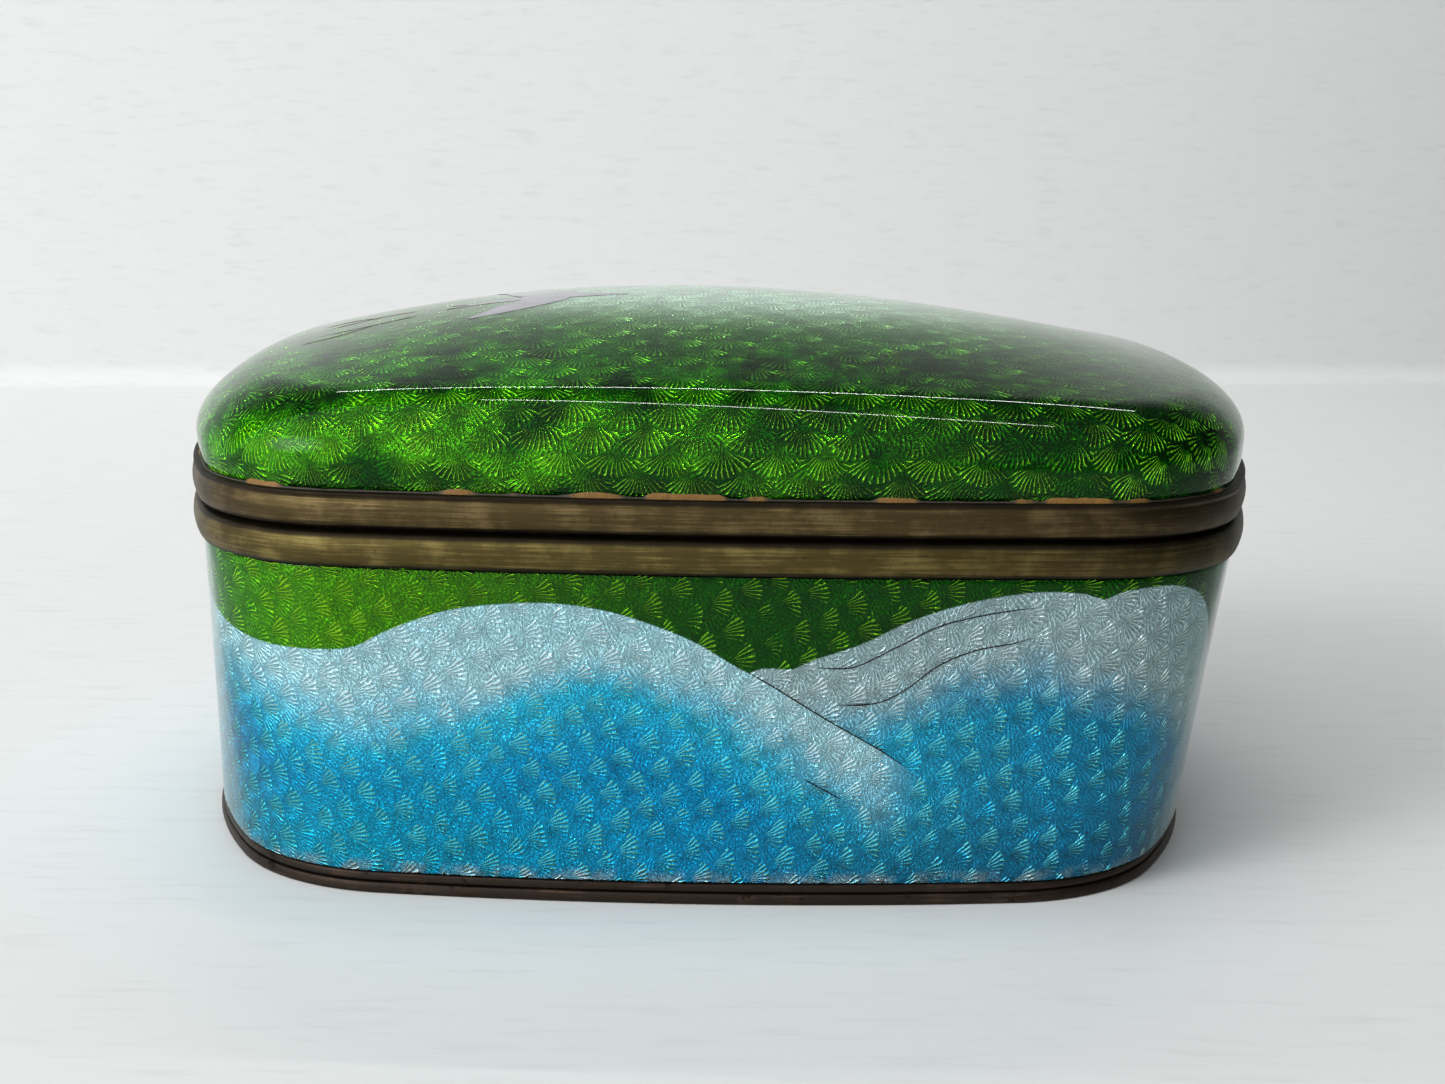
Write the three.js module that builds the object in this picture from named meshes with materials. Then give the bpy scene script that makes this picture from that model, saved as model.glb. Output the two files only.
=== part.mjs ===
import * as THREE from 'three';

// Enamelled pill box: a cushion-shaped copper cup and a domed copper lid, enamelled outside and inside,
// bound with brass rims and hinged along the back. Millimetres, +Z up, the front faces -Y.
// The origin is on the surface that the box stands on, under the middle of the whole box, hinge included.

// Plan of the rims, the widest part of the box
const rim_plan_width = 75;
const rim_plan_depth = 56;
const rim_corner_radius = 12;
const rim_end_bow = 4.8;
const rim_side_bow = 1.6;

// Plan of the foot. The walls lean in towards it, more on the right than on the left.
const foot_plan_width = 71.4;
const foot_plan_depth = 53.6;
const foot_corner_radius = 13;
const foot_end_bow = 6.2;
const foot_side_bow = 1.7;
const foot_shift = -1.1;

// Heights, from the foot up
const foot_ring_height = 0.75;
const foot_band_height = 0.6;
const wall_height = 20.4;
const body_rim_height = 2.2;
const rim_gap = 0.3;
const lid_rim_height = 2.3;
const lid_wall_rise = 1.9;
const shoulder_rise = 2.9;
const crown_rise = 5.6;

// The hand-raised dome leans a little to the right as it rises, and its crown peaks left of the middle
const dome_lean = 0.5;
const crown_skew = 2.5;

// How far one thing stands in or out from another
const foot_reveal = 0.2;
const band_step = 0.15;
const rim_reveal = 0.6;
const lid_bulge = 0.25;
const shoulder_reach = 4.4;

// Thicknesses of the layers that make a wall, with the hairline gap between them
const enamel_thickness = 0.5;
const copper_thickness = 0.45;
const lining_thickness = 0.35;
const layer_gap = 0.05;
const floor_round = 1.2;
const foot_width = 2.0;

// Bezel strip that the lid closes over
const bezel_thickness = 0.5;
const bezel_above_joint = 2.0;
const bezel_below_joint = 3.4;
const lid_clearance = 0.3;

// Hinge: short tubes on a pin, held off the rims by two bearer strips
const tube_radius = 1.2;
const tube_bore_radius = 0.57;
const tube_length = 4.4;
const tube_end_gap = 0.2;
const tube_count = 5;
const pin_radius = 0.5;
const pin_head_radius = 0.85;
const pin_head_length = 0.3;
const bearer_thickness = 0.4;
const bearer_drop = 2.0;

// Facets
const end_steps = 6;
const corner_steps = 6;
const side_steps = 10;
const shoulder_steps = 4;
const crown_scales = [0.68, 0.34, 0];
const tube_facets = 20;

// Heights and depths worked out from the sizes above
const band_bottom = foot_ring_height + layer_gap;
const wall_bottom = band_bottom + foot_band_height + layer_gap;
const wall_top = wall_bottom + wall_height;
const body_rim_bottom = wall_top + layer_gap;
const body_rim_top = body_rim_bottom + body_rim_height;
const joint_height = body_rim_top + rim_gap / 2;
const lid_rim_bottom = body_rim_top + rim_gap;
const lid_rim_top = lid_rim_bottom + lid_rim_height;
const lid_wall_bottom = lid_rim_top + layer_gap;
const shoulder_bottom = lid_wall_bottom + lid_wall_rise;
const shoulder_top = shoulder_bottom + shoulder_rise;
const copper_depth = enamel_thickness + layer_gap;
const lining_depth = copper_depth + copper_thickness + layer_gap;
const wall_depth = lining_depth + lining_thickness;
const lid_inner_face = rim_reveal + wall_depth;
const bezel_outer_face = lid_inner_face + lid_clearance;
const rim_inner_face = bezel_outer_face - layer_gap;
const hinge_reach = layer_gap + bearer_thickness + layer_gap + tube_radius;
const hinge_y = rim_plan_depth / 2 + hinge_reach;

const rim_plan = {
  width: rim_plan_width,
  depth: rim_plan_depth,
  corner: rim_corner_radius,
  end_bow: rim_end_bow,
  side_bow: rim_side_bow,
  shift: 0,
};

const foot_plan = {
  width: foot_plan_width,
  depth: foot_plan_depth,
  corner: foot_corner_radius,
  end_bow: foot_end_bow,
  side_bow: foot_side_bow,
  shift: foot_shift,
};

// ---- Plan outline: two bowed sides and two bowed ends, joined by round corners ----

function bowRadius(halfLength, bow) {
  return (halfLength * halfLength + bow * bow) / (2 * bow);
}

// The corner circle touches the side's arc and the end's arc from inside.
function cornerCentre(endCentre, endRadius, sideCentre, sideRadius) {
  const apart = sideCentre.distanceTo(endCentre);
  const along = (sideRadius ** 2 - endRadius ** 2 + apart ** 2) / (2 * apart);
  const across = Math.sqrt(sideRadius ** 2 - along ** 2);
  const direction = endCentre.clone().sub(sideCentre).divideScalar(apart);
  const foot = sideCentre.clone().addScaledVector(direction, along);
  return new THREE.Vector2(foot.x + across * direction.y, foot.y - across * direction.x);
}

function planArcs(plan) {
  const halfWidth = plan.width / 2;
  const halfDepth = plan.depth / 2;
  const cornerShare = 0.3;
  const sideRun = halfWidth - plan.end_bow - cornerShare * plan.corner;
  const endRun = halfDepth - plan.side_bow - cornerShare * plan.corner;
  const sideRadius = bowRadius(sideRun, plan.side_bow);
  const endRadius = bowRadius(endRun, plan.end_bow);
  const sideCentre = new THREE.Vector2(0, halfDepth - sideRadius);
  const endCentre = new THREE.Vector2(halfWidth - endRadius, 0);
  const corner = cornerCentre(endCentre, endRadius - plan.corner, sideCentre, sideRadius - plan.corner);
  const endAngle = Math.atan2(corner.y, corner.x - endCentre.x);
  const sideAngle = Math.atan2(corner.y - sideCentre.y, corner.x);
  const quarter = [
    { centre: endCentre, radius: endRadius, from: 0, to: endAngle, steps: end_steps / 2 },
    { centre: corner, radius: plan.corner, from: endAngle, to: sideAngle, steps: corner_steps },
    { centre: sideCentre, radius: sideRadius, from: sideAngle, to: Math.PI / 2, steps: side_steps / 2 },
  ];
  return quarter;
}

// Points of the first quarter, from the right end to the middle of the back, set in by an even inset.
function quarterPoints(plan, inset) {
  const points = [];
  for (const arc of planArcs(plan)) {
    for (let i = 0; i < arc.steps; i++) {
      const angle = THREE.MathUtils.lerp(arc.from, arc.to, i / arc.steps);
      const radius = arc.radius - inset;
      points.push([arc.centre.x + radius * Math.cos(angle), arc.centre.y + radius * Math.sin(angle)]);
    }
  }
  points.push([0, plan.depth / 2 - inset]);
  return points;
}

// The whole outline, anticlockwise from above, as one ring of points at one height.
function ring(plan, inset, z) {
  const quarter = quarterPoints(plan, inset);
  const last = quarter.length - 1;
  const outline = [...quarter];
  for (let i = last - 1; i >= 0; i--) {
    outline.push([-quarter[i][0], quarter[i][1]]);
  }
  for (let i = 1; i <= last; i++) {
    outline.push([-quarter[i][0], -quarter[i][1]]);
  }
  for (let i = last - 1; i > 0; i--) {
    outline.push([quarter[i][0], -quarter[i][1]]);
  }
  return outline.map(([x, y]) => new THREE.Vector3(x + plan.shift, y, z));
}

// ---- Solids made from stacks of rings ----

function signedVolume(points, faces) {
  let volume = 0;
  for (let i = 0; i < faces.length; i += 3) {
    const [a, b, c] = [points[faces[i]], points[faces[i + 1]], points[faces[i + 2]]];
    volume += a.dot(b.clone().cross(c)) / 6;
  }
  return volume;
}

function solidFrom(points, faces) {
  const outward = signedVolume(points, faces) > 0 ? faces : [...faces].reverse();
  const geometry = new THREE.BufferGeometry().setFromPoints(points);
  geometry.setIndex(outward);
  geometry.computeVertexNormals();
  return geometry;
}

// Joins rings in order. A ring of one point closes the skin there, and a looped skin joins last to first.
// Each four-cornered facet is split from its lower right to its upper left corner whichever way the rings run,
// so that two layers that face each other are split alike and stay an even gap apart.
function loft(rings, looped) {
  const points = rings.flat();
  const starts = [];
  let count = 0;
  for (const one of rings) {
    starts.push(count);
    count += one.length;
  }
  const faces = [];
  const pairs = looped ? rings.length : rings.length - 1;
  for (let k = 0; k < pairs; k++) {
    const next = (k + 1) % rings.length;
    const size = Math.max(rings[k].length, rings[next].length);
    const rising = rings[next][0].z > rings[k][0].z;
    for (let i = 0; i < size; i++) {
      const j = (i + 1) % size;
      const a = starts[k] + (rings[k].length > 1 ? i : 0);
      const b = starts[k] + (rings[k].length > 1 ? j : 0);
      const c = starts[next] + (rings[next].length > 1 ? i : 0);
      const d = starts[next] + (rings[next].length > 1 ? j : 0);
      if (a === b) {
        faces.push(a, d, c);
      } else if (c === d) {
        faces.push(a, b, c);
      } else if (rising) {
        faces.push(a, b, c, b, d, c);
      } else {
        faces.push(a, b, d, a, d, c);
      }
    }
  }
  return solidFrom(points, faces);
}

// ---- Body ----

// The body's plan at a height, between the foot's plan and the rims' plan.
function bodyPlan(z) {
  const t = z / wall_top;
  const plan = {};
  for (const key of Object.keys(rim_plan)) {
    plan[key] = THREE.MathUtils.lerp(foot_plan[key], rim_plan[key], t);
  }
  return plan;
}

// A ring in the body's wall, at a depth below the enamel's outer face.
function bodyRing(depth, z) {
  const reveal = THREE.MathUtils.lerp(foot_reveal, rim_reveal, z / wall_top);
  return ring(bodyPlan(z), reveal + depth, z);
}

function centre(z) {
  return [new THREE.Vector3(foot_shift, 0, z)];
}

const wall_levels = [0, 1 / 3, 2 / 3, 1];

function bodyEnamel() {
  const heights = wall_levels.map((t) => THREE.MathUtils.lerp(wall_bottom, wall_top, t));
  const outside = heights.map((z) => bodyRing(0, z));
  const inside = heights.map((z) => bodyRing(enamel_thickness, z)).reverse();
  return loft([...outside, ...inside], true);
}

// One side of a cup: from the middle of its floor, round the floor's edge and up the wall.
function cupSide(depth, floorZ, round) {
  const rings = [centre(floorZ), bodyRing(depth + round, floorZ)];
  const heights = wall_levels.map((t) => THREE.MathUtils.lerp(floorZ + round, wall_top, t));
  return [...rings, ...heights.map((z) => bodyRing(depth, z))];
}

function cup(depth, thickness, floorZ) {
  const outside = cupSide(depth, floorZ, floor_round);
  const inside = cupSide(depth + thickness, floorZ + thickness, floor_round).reverse();
  return loft([...outside, ...inside], false);
}

function baseEnamel() {
  const top = wall_bottom - layer_gap;
  const bottom = top - lining_thickness;
  const inset = foot_width + layer_gap;
  return loft([centre(bottom), ring(foot_plan, inset, bottom), ring(foot_plan, inset, top), centre(top)], false);
}

function footRing() {
  const lip = 0.12;
  const profile = [
    [lip, 0],
    [0, lip],
    [0, foot_ring_height - lip],
    [lip, foot_ring_height],
    [foot_width, foot_ring_height],
    [foot_width, 0],
  ];
  return loft(profile.map(([inset, z]) => ring(foot_plan, inset, z)), true);
}

function footBand() {
  const profile = [
    [band_step, band_bottom],
    [band_step, band_bottom + foot_band_height],
    [foot_width, band_bottom + foot_band_height],
    [foot_width, band_bottom],
  ];
  return loft(profile.map(([inset, z]) => ring(foot_plan, inset, z)), true);
}

// ---- Rims and bezel ----

// Inset and share of the height of a rim's face between its edges
const rim_lower_shoulder = [0.14, 0.2];
const rim_widest = [0, 0.46];
const rim_upper_shoulder = [0.1, 0.78];

// Insets of each rim's lower and upper edge
const body_rim_edges = [0.45, 0.55];
const lid_rim_edges = [0.6, 0.3];

// A half-round bead outside and a flat face inside. Each pair is inset and share of the height.
function rimSection([bottomInset, topInset], innerFace, bottom, height) {
  const section = [
    [innerFace, 0],
    [bottomInset, 0],
    rim_lower_shoulder,
    rim_widest,
    rim_upper_shoulder,
    [topInset, 1],
    [innerFace, 1],
  ];
  return section.map(([inset, share]) => ring(rim_plan, inset, bottom + share * height));
}

function bodyRim() {
  return loft(rimSection(body_rim_edges, rim_inner_face, body_rim_bottom, body_rim_height), true);
}

function lidRim() {
  return loft(rimSection(lid_rim_edges, lid_inner_face, lid_rim_bottom, lid_rim_height), true);
}

// Upright above the body's wall, and following the wall's lean below its top edge.
function bezel() {
  const lead = 0.2;
  const outer = bezel_outer_face - rim_reveal;
  const inner = outer + bezel_thickness;
  const bottom = joint_height - bezel_below_joint;
  const top = joint_height + bezel_above_joint;
  const rings = [
    bodyRing(outer, bottom),
    bodyRing(outer, wall_top),
    ring(rim_plan, rim_reveal + outer, top - lead),
    ring(rim_plan, rim_reveal + outer + lead, top),
    ring(rim_plan, rim_reveal + inner, top),
    bodyRing(inner, wall_top),
    bodyRing(inner, bottom),
  ];
  return loft(rings, true);
}

// ---- Lid ----

// Height of the crown above the shoulder: full near the middle, none at the sides and ends.
function crown(x, y) {
  const half_width = rim_plan_width / 2 - rim_reveal;
  const skewed = x + crown_skew * (1 - (x / half_width) ** 2);
  const across = skewed / half_width;
  const along = y / (rim_plan_depth / 2 - rim_reveal);
  return crown_rise * (1 - across * across) * (1 - along * along);
}

// A ring of the lid at a depth below the enamel. The crown is read at the outer face, so that layers stay even.
function lidRing(outer, inset, z, share, scale) {
  const outline = ring(rim_plan, inset, z);
  const outside = ring(rim_plan, outer, z);
  const points = outline.map((point, i) => {
    const lift = share * crown(outside[i].x * scale, outside[i].y * scale);
    return new THREE.Vector3(point.x * scale + share * dome_lean, point.y * scale, point.z + lift);
  });
  return scale === 0 ? [points[0]] : points;
}

// One side of the lid: from its bottom edge, up the bulged wall, over the shoulder and in to the top.
function lidSide(depth) {
  const rings = [lidRing(rim_reveal, rim_reveal + depth, lid_wall_bottom, 0, 1)];
  const bulged = rim_reveal - lid_bulge;
  const shoulderEdge = bulged + shoulder_reach;
  for (let i = 0; i <= shoulder_steps; i++) {
    const angle = (i / shoulder_steps) * (Math.PI / 2);
    const outer = shoulderEdge - shoulder_reach * Math.cos(angle);
    const inset = shoulderEdge - (shoulder_reach - depth) * Math.cos(angle);
    const z = shoulder_bottom + (shoulder_rise - depth) * Math.sin(angle);
    rings.push(lidRing(outer, inset, z, Math.sin(angle), 1));
  }
  for (const scale of crown_scales) {
    rings.push(lidRing(shoulderEdge, shoulderEdge, shoulder_top - depth, 1, scale));
  }
  return rings;
}

function lidLayer(depth, thickness) {
  const outside = lidSide(depth);
  const inside = lidSide(depth + thickness).reverse();
  return loft([...inside, ...outside], false);
}

// ---- Hinge, drawn along X ----

function turned(profile) {
  const points = profile.map(([radius, along]) => new THREE.Vector2(radius, along));
  const geometry = new THREE.LatheGeometry(points, tube_facets);
  geometry.rotateZ(-Math.PI / 2);
  return geometry;
}

function hingeTube() {
  const half = tube_length / 2;
  return turned([
    [tube_bore_radius, -half],
    [tube_radius, -half],
    [tube_radius, half],
    [tube_bore_radius, half],
    [tube_bore_radius, -half],
  ]);
}

function hingeSpan() {
  return tube_count * tube_length + (tube_count - 1) * tube_end_gap;
}

function hingePin() {
  const half = hingeSpan() / 2 + tube_end_gap / 2;
  const end = half + pin_head_length;
  return turned([
    [0, -end],
    [pin_head_radius, -end],
    [pin_head_radius, -half],
    [pin_radius, -half],
    [pin_radius, half],
    [pin_head_radius, half],
    [pin_head_radius, end],
    [0, end],
  ]);
}

// A strip with a hollow channel for the tubes. Side is -1 for the body's strip and 1 for the lid's.
function bearer(side) {
  const channel = tube_radius + layer_gap;
  const face = -hinge_reach + layer_gap;
  const near = rim_gap / 2;
  const nearAngle = Math.asin(near / channel);
  const farAngle = Math.PI / 3;
  const channelSteps = 6;
  const section = new THREE.Shape();
  section.moveTo(face, side * near);
  for (let i = 0; i <= channelSteps; i++) {
    const angle = THREE.MathUtils.lerp(nearAngle, farAngle, i / channelSteps);
    section.lineTo(-channel * Math.cos(angle), side * channel * Math.sin(angle));
  }
  section.lineTo(face, side * bearer_drop);
  const geometry = new THREE.ExtrudeGeometry(section, { depth: hingeSpan(), bevelEnabled: false });
  const along = new THREE.Vector3(1, 0, 0);
  const back = new THREE.Vector3(0, 1, 0);
  const up = new THREE.Vector3(0, 0, 1);
  geometry.applyMatrix4(new THREE.Matrix4().makeBasis(back, up, along));
  geometry.translate(-hingeSpan() / 2, 0, 0);
  return geometry;
}

// ---- Finishes ----

const blue_enamel = new THREE.MeshStandardMaterial({ color: 0x1586b4, roughness: 0.12, metalness: 0.3 });
const green_enamel = new THREE.MeshStandardMaterial({ color: 0x2f6b3c, roughness: 0.1, metalness: 0.3 });
const lining_enamel = new THREE.MeshStandardMaterial({ color: 0x1d4f86, roughness: 0.25, metalness: 0 });
const copper = new THREE.MeshStandardMaterial({ color: 0x9a5a3c, roughness: 0.5, metalness: 1 });
const aged_brass = new THREE.MeshStandardMaterial({ color: 0x5f4f30, roughness: 0.45, metalness: 1 });
const dark_copper = new THREE.MeshStandardMaterial({ color: 0x33261d, roughness: 0.5, metalness: 1 });

function piece(name, geometry, material) {
  const mesh = new THREE.Mesh(geometry, material);
  mesh.name = name;
  return mesh;
}

// ---- Assembly ----

const body = new THREE.Group();
body.add(
  piece('foot_ring', footRing(), dark_copper),
  piece('foot_band', footBand(), dark_copper),
  piece('base_enamel', baseEnamel(), lining_enamel),
  piece('body_copper_shell', cup(copper_depth, copper_thickness, wall_bottom), copper),
  piece('body_enamel', bodyEnamel(), blue_enamel),
  piece('body_lining', cup(lining_depth, lining_thickness, wall_bottom + copper_thickness + layer_gap), lining_enamel),
  piece('body_rim', bodyRim(), aged_brass),
  piece('bezel', bezel(), aged_brass),
);

const lid = new THREE.Group();
lid.add(
  piece('lid_rim', lidRim(), aged_brass),
  piece('lid_enamel', lidLayer(0, enamel_thickness), green_enamel),
  piece('lid_copper_shell', lidLayer(copper_depth, copper_thickness), copper),
  piece('lid_lining', lidLayer(lining_depth, lining_thickness), lining_enamel),
);

// Odd tubes are soldered to the body's bearer and even ones to the lid's.
const hinge = new THREE.Group();
hinge.position.set(0, hinge_y, joint_height);
for (let i = 0; i < tube_count; i++) {
  const owner = i % 2 === 0 ? 'body' : 'lid';
  const tube = piece(`hinge_tube_${i + 1}_${owner}`, hingeTube(), aged_brass);
  tube.position.x = (i - (tube_count - 1) / 2) * (tube_length + tube_end_gap);
  hinge.add(tube);
}
hinge.add(
  piece('hinge_pin', hingePin(), aged_brass),
  piece('hinge_bearer_body', bearer(-1), aged_brass),
  piece('hinge_bearer_lid', bearer(1), aged_brass),
);

const pill_box = new THREE.Group();
pill_box.add(body, lid, hinge);
pill_box.position.y = -(hinge_reach + tube_radius) / 2;

export default pill_box;
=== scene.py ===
# %% [markdown]
# # A pill box in enamel over stamped foil
# The box is a pressed copper cup and a domed copper lid. Silver foil stamped with small fans is laid on
# the copper, coloured glass is fused over it, and brass rims bind the two mouths, which meet at a hinge.
# This lesson loads the plain CAD model as a fixed frame, makes each visible piece again with smooth
# curves, and gives each one its own procedural finish. Every measure is in the frame the CAD uses.

# %% Load the fixed frame
import math
from functools import partial

import bmesh
import bpy
from mathutils import Matrix, Vector


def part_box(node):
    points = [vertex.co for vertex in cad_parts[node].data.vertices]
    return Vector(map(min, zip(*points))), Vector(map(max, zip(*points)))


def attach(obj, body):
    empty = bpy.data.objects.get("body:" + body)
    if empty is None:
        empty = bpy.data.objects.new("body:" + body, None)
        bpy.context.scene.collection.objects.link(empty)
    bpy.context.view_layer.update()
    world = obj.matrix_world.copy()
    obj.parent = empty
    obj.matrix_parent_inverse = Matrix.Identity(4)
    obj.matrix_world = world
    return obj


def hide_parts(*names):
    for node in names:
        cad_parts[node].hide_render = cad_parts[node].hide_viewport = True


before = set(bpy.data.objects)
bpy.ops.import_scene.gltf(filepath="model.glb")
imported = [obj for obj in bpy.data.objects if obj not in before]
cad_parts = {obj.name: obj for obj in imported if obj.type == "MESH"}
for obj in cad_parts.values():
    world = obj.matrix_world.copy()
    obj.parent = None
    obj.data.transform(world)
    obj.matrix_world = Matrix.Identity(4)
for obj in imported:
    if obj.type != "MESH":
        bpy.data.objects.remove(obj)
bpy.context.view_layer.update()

MM = 0.001


# %% [markdown]
# ## Sizes
# A maker would take these from the drawing. What the frame can tell is read from it: how high the rims
# sit, where the hinge axis runs and where the middle of the plan lies. The plan itself is a cushion:
# bowed ends and bowed sides joined by round corners, a little smaller at the foot, and moved to the
# left there because the right wall leans in more.

# %% Sizes of the box in millimetres
def node_span(node, axis):
    """Lowest and highest point of a CAD node along one axis (0, 1 or 2), in millimetres."""
    low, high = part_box(node)
    return low[axis] / MM, high[axis] / MM


RIM_PLAN = dict(width=75.0, depth=56.0, corner=12.0, end_bow=4.8, side_bow=1.6, shift=0.0)
FOOT_PLAN = dict(width=71.4, depth=53.6, corner=13.0, end_bow=6.2, side_bow=1.7, shift=-1.1)
MIDDLE_Y = sum(node_span("lid_rim", 1)) / 2
WALL_BOTTOM, WALL_TOP = node_span("body_enamel", 2)
BODY_RIM_Z = node_span("body_rim", 2)
LID_RIM_Z = node_span("lid_rim", 2)
LID_BOTTOM = node_span("lid_enamel", 2)[0]
FOOT_REVEAL, RIM_REVEAL = 0.2, 0.6
ENAMEL = 0.5
LINING_FROM, LINING_TO = 1.05, 1.4
print("wall", WALL_BOTTOM, "to", round(WALL_TOP, 2), "mm; middle of the plan at y =", round(MIDDLE_Y, 2))


# %% [markdown]
# ## The cushion outline
# Each quarter of the outline is three arcs that touch smoothly: a slow bow along the end, the round
# corner, and a slow bow along the side. A parallel copy, a little inside, keeps the same centres and
# takes the inset off each radius, so layers laid one in another stay an even thickness. That is how
# copper, glass and lining really nest, so every piece below is drawn from this one outline.

# %% Draw the outline and its parallel copies
END_STEPS, CORNER_STEPS, SIDE_STEPS = 14, 20, 36


def bow_radius(run, bow):
    return (run * run + bow * bow) / (2 * bow)


def blend_plans(share):
    """The plan at a share of the wall's height: 0 at the foot, 1 at the rim."""
    return {k: FOOT_PLAN[k] + (RIM_PLAN[k] - FOOT_PLAN[k]) * share for k in RIM_PLAN}


def quarter_arcs(plan):
    """Three arcs from the right end round to the back: (centre x, centre y, radius, from, to, steps)."""
    half_w, half_d, corner = plan["width"] / 2, plan["depth"] / 2, plan["corner"]
    side_r = bow_radius(half_w - plan["end_bow"] - 0.3 * corner, plan["side_bow"])
    end_r = bow_radius(half_d - plan["side_bow"] - 0.3 * corner, plan["end_bow"])
    side_c, end_c = Vector((0, half_d - side_r)), Vector((half_w - end_r, 0))
    reach_s, reach_e = side_r - corner, end_r - corner
    apart = (side_c - end_c).length
    along = (reach_s ** 2 - reach_e ** 2 + apart ** 2) / (2 * apart)
    across = math.sqrt(reach_s ** 2 - along ** 2)
    way = (end_c - side_c) / apart
    foot = side_c + way * along
    corner_c = Vector((foot.x + across * way.y, foot.y - across * way.x))
    end_angle = math.atan2(corner_c.y, corner_c.x - end_c.x)
    side_angle = math.atan2(corner_c.y - side_c.y, corner_c.x)
    return [
        (end_c.x, end_c.y, end_r, 0, end_angle, END_STEPS),
        (corner_c.x, corner_c.y, corner, end_angle, side_angle, CORNER_STEPS),
        (side_c.x, side_c.y, side_r, side_angle, math.pi / 2, SIDE_STEPS),
    ]


def outline(plan, inset=0.0):
    """Points (x, y, outward x, outward y) anticlockwise from the middle of the back."""
    quarter = []
    for cx, cy, radius, start, stop, steps in quarter_arcs(plan):
        for step in range(steps):
            angle = start + (stop - start) * step / steps
            out = (math.cos(angle), math.sin(angle))
            reach = radius - inset
            quarter.append((cx + reach * out[0], cy + reach * out[1], *out))
    quarter.append((0.0, plan["depth"] / 2 - inset, 0.0, 1.0))
    turns = [(-1, 1, True), (-1, -1, False), (1, -1, True), (1, 1, False)]
    points = []
    for sx, sy, backwards in turns:
        run = quarter[::-1] if backwards else quarter
        points += [(x * sx + plan["shift"], y * sy, nx * sx, ny * sy) for x, y, nx, ny in run[:-1]]
    return points


COLUMNS = 4 * (END_STEPS + CORNER_STEPS + SIDE_STEPS)
mouth = outline(RIM_PLAN)
ALONG = [0.0]
for here, after in zip(mouth, mouth[1:] + mouth[:1]):
    ALONG.append(ALONG[-1] + math.dist(here[:2], after[:2]))
GIRTH = ALONG[-1]
ALONG = [length - GIRTH / 2 for length in ALONG]
print(COLUMNS, "columns round the plan, girth", round(GIRTH, 1), "mm")


# %% [markdown]
# ## Lofting
# A loft joins ring to ring, as a potter's wall is built up coil on coil. Each ring has the same number
# of points, so point 40 on one ring joins point 40 on the next. Shells that close on themselves join
# their last ring to their first, and domes and floors end in one point. The loft also lays the piece's
# own map over it, in millimetres, so that stamped fans follow the surface and don't shear at corners.

# %% A loft with its own map
SMOOTH_ANGLE = math.radians(38)
WELD_GAP = 0.001 * MM


def weld(mesh, face_out=False):
    """Joins points that lie on one another."""
    bench = bmesh.new()
    bench.from_mesh(mesh)
    bmesh.ops.remove_doubles(bench, verts=bench.verts, dist=WELD_GAP)
    if face_out:
        bmesh.ops.recalc_face_normals(bench, faces=bench.faces)
    bench.to_mesh(mesh)
    bench.free()


def finish_mesh(mesh):
    """Faces outward, smooth shading, and sharp only where the surface really turns."""
    bench = bmesh.new()
    bench.from_mesh(mesh)
    if bench.calc_volume(signed=True) < 0:
        bmesh.ops.reverse_faces(bench, faces=bench.faces)
    bench.to_mesh(mesh)
    bench.free()
    mesh.polygons.foreach_set("use_smooth", [True] * len(mesh.polygons))
    mesh.set_sharp_from_angle(angle=SMOOTH_ANGLE)
    mesh.update()


def in_scene(name, data):
    thing = bpy.data.objects.new(name, data)
    bpy.context.scene.collection.objects.link(thing)
    return thing


def add_piece(name, mesh, material, slot=None, body=None, replaced=()):
    """Puts a piece in the scene, on a body, in place of the CAD nodes that it replaces."""
    piece = in_scene(name, mesh)
    mesh.materials.clear()
    mesh.materials.append(material)
    if replaced:
        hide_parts(*replaced)
    if slot:
        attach(piece, body)
    return piece


def loft(name, rings, map_rings=None, closed=False, poles=(None, None), notes=None):
    """Mesh from rings of (x, y, z) in mm. A pole is (x, y, z, u, v).
    notes holds {attribute: rings of values}."""
    count = len(rings[0])
    points = [(x * MM, (y + MIDDLE_Y) * MM, z * MM) for ring in rings for x, y, z in ring]
    faces, marks = [], []
    pairs = [(k, k + 1) for k in range(len(rings) - 1)]
    if closed:
        pairs.append((len(rings) - 1, 0))
    for low, high in pairs:
        for j in range(count):
            nxt = (j + 1) % count
            faces.append((low * count + j, low * count + nxt, high * count + nxt, high * count + j))
            if map_rings:
                lower, upper = map_rings[low], map_rings[high]
                marks += [lower[j], lower[j + 1], upper[j + 1], upper[j]]
    for pole, ring, first in ((poles[0], 0, True), (poles[1], len(rings) - 1, False)):
        if pole is None:
            continue
        points.append((pole[0] * MM, (pole[1] + MIDDLE_Y) * MM, pole[2] * MM))
        tip = len(points) - 1
        for j in range(count):
            a, b = (j + 1, j) if first else (j, j + 1)
            faces.append((ring * count + a % count, ring * count + b % count, tip))
            if map_rings:
                marks += [map_rings[ring][a], map_rings[ring][b], pole[3:5]]
    mesh = bpy.data.meshes.new(name)
    mesh.from_pydata(points, [], faces)
    if map_rings:
        layer = mesh.uv_layers.new(name="surface_mm")
        layer.data.foreach_set("uv", [number for mark in marks for number in mark])
    for note, values in (notes or {}).items():
        flat = [value for ring in values for value in ring]
        flat += [0.0] * (len(points) - len(flat))
        mesh.attributes.new(note, "FLOAT", "POINT").data.foreach_set("value", flat)
    finish_mesh(mesh)
    return mesh


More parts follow.
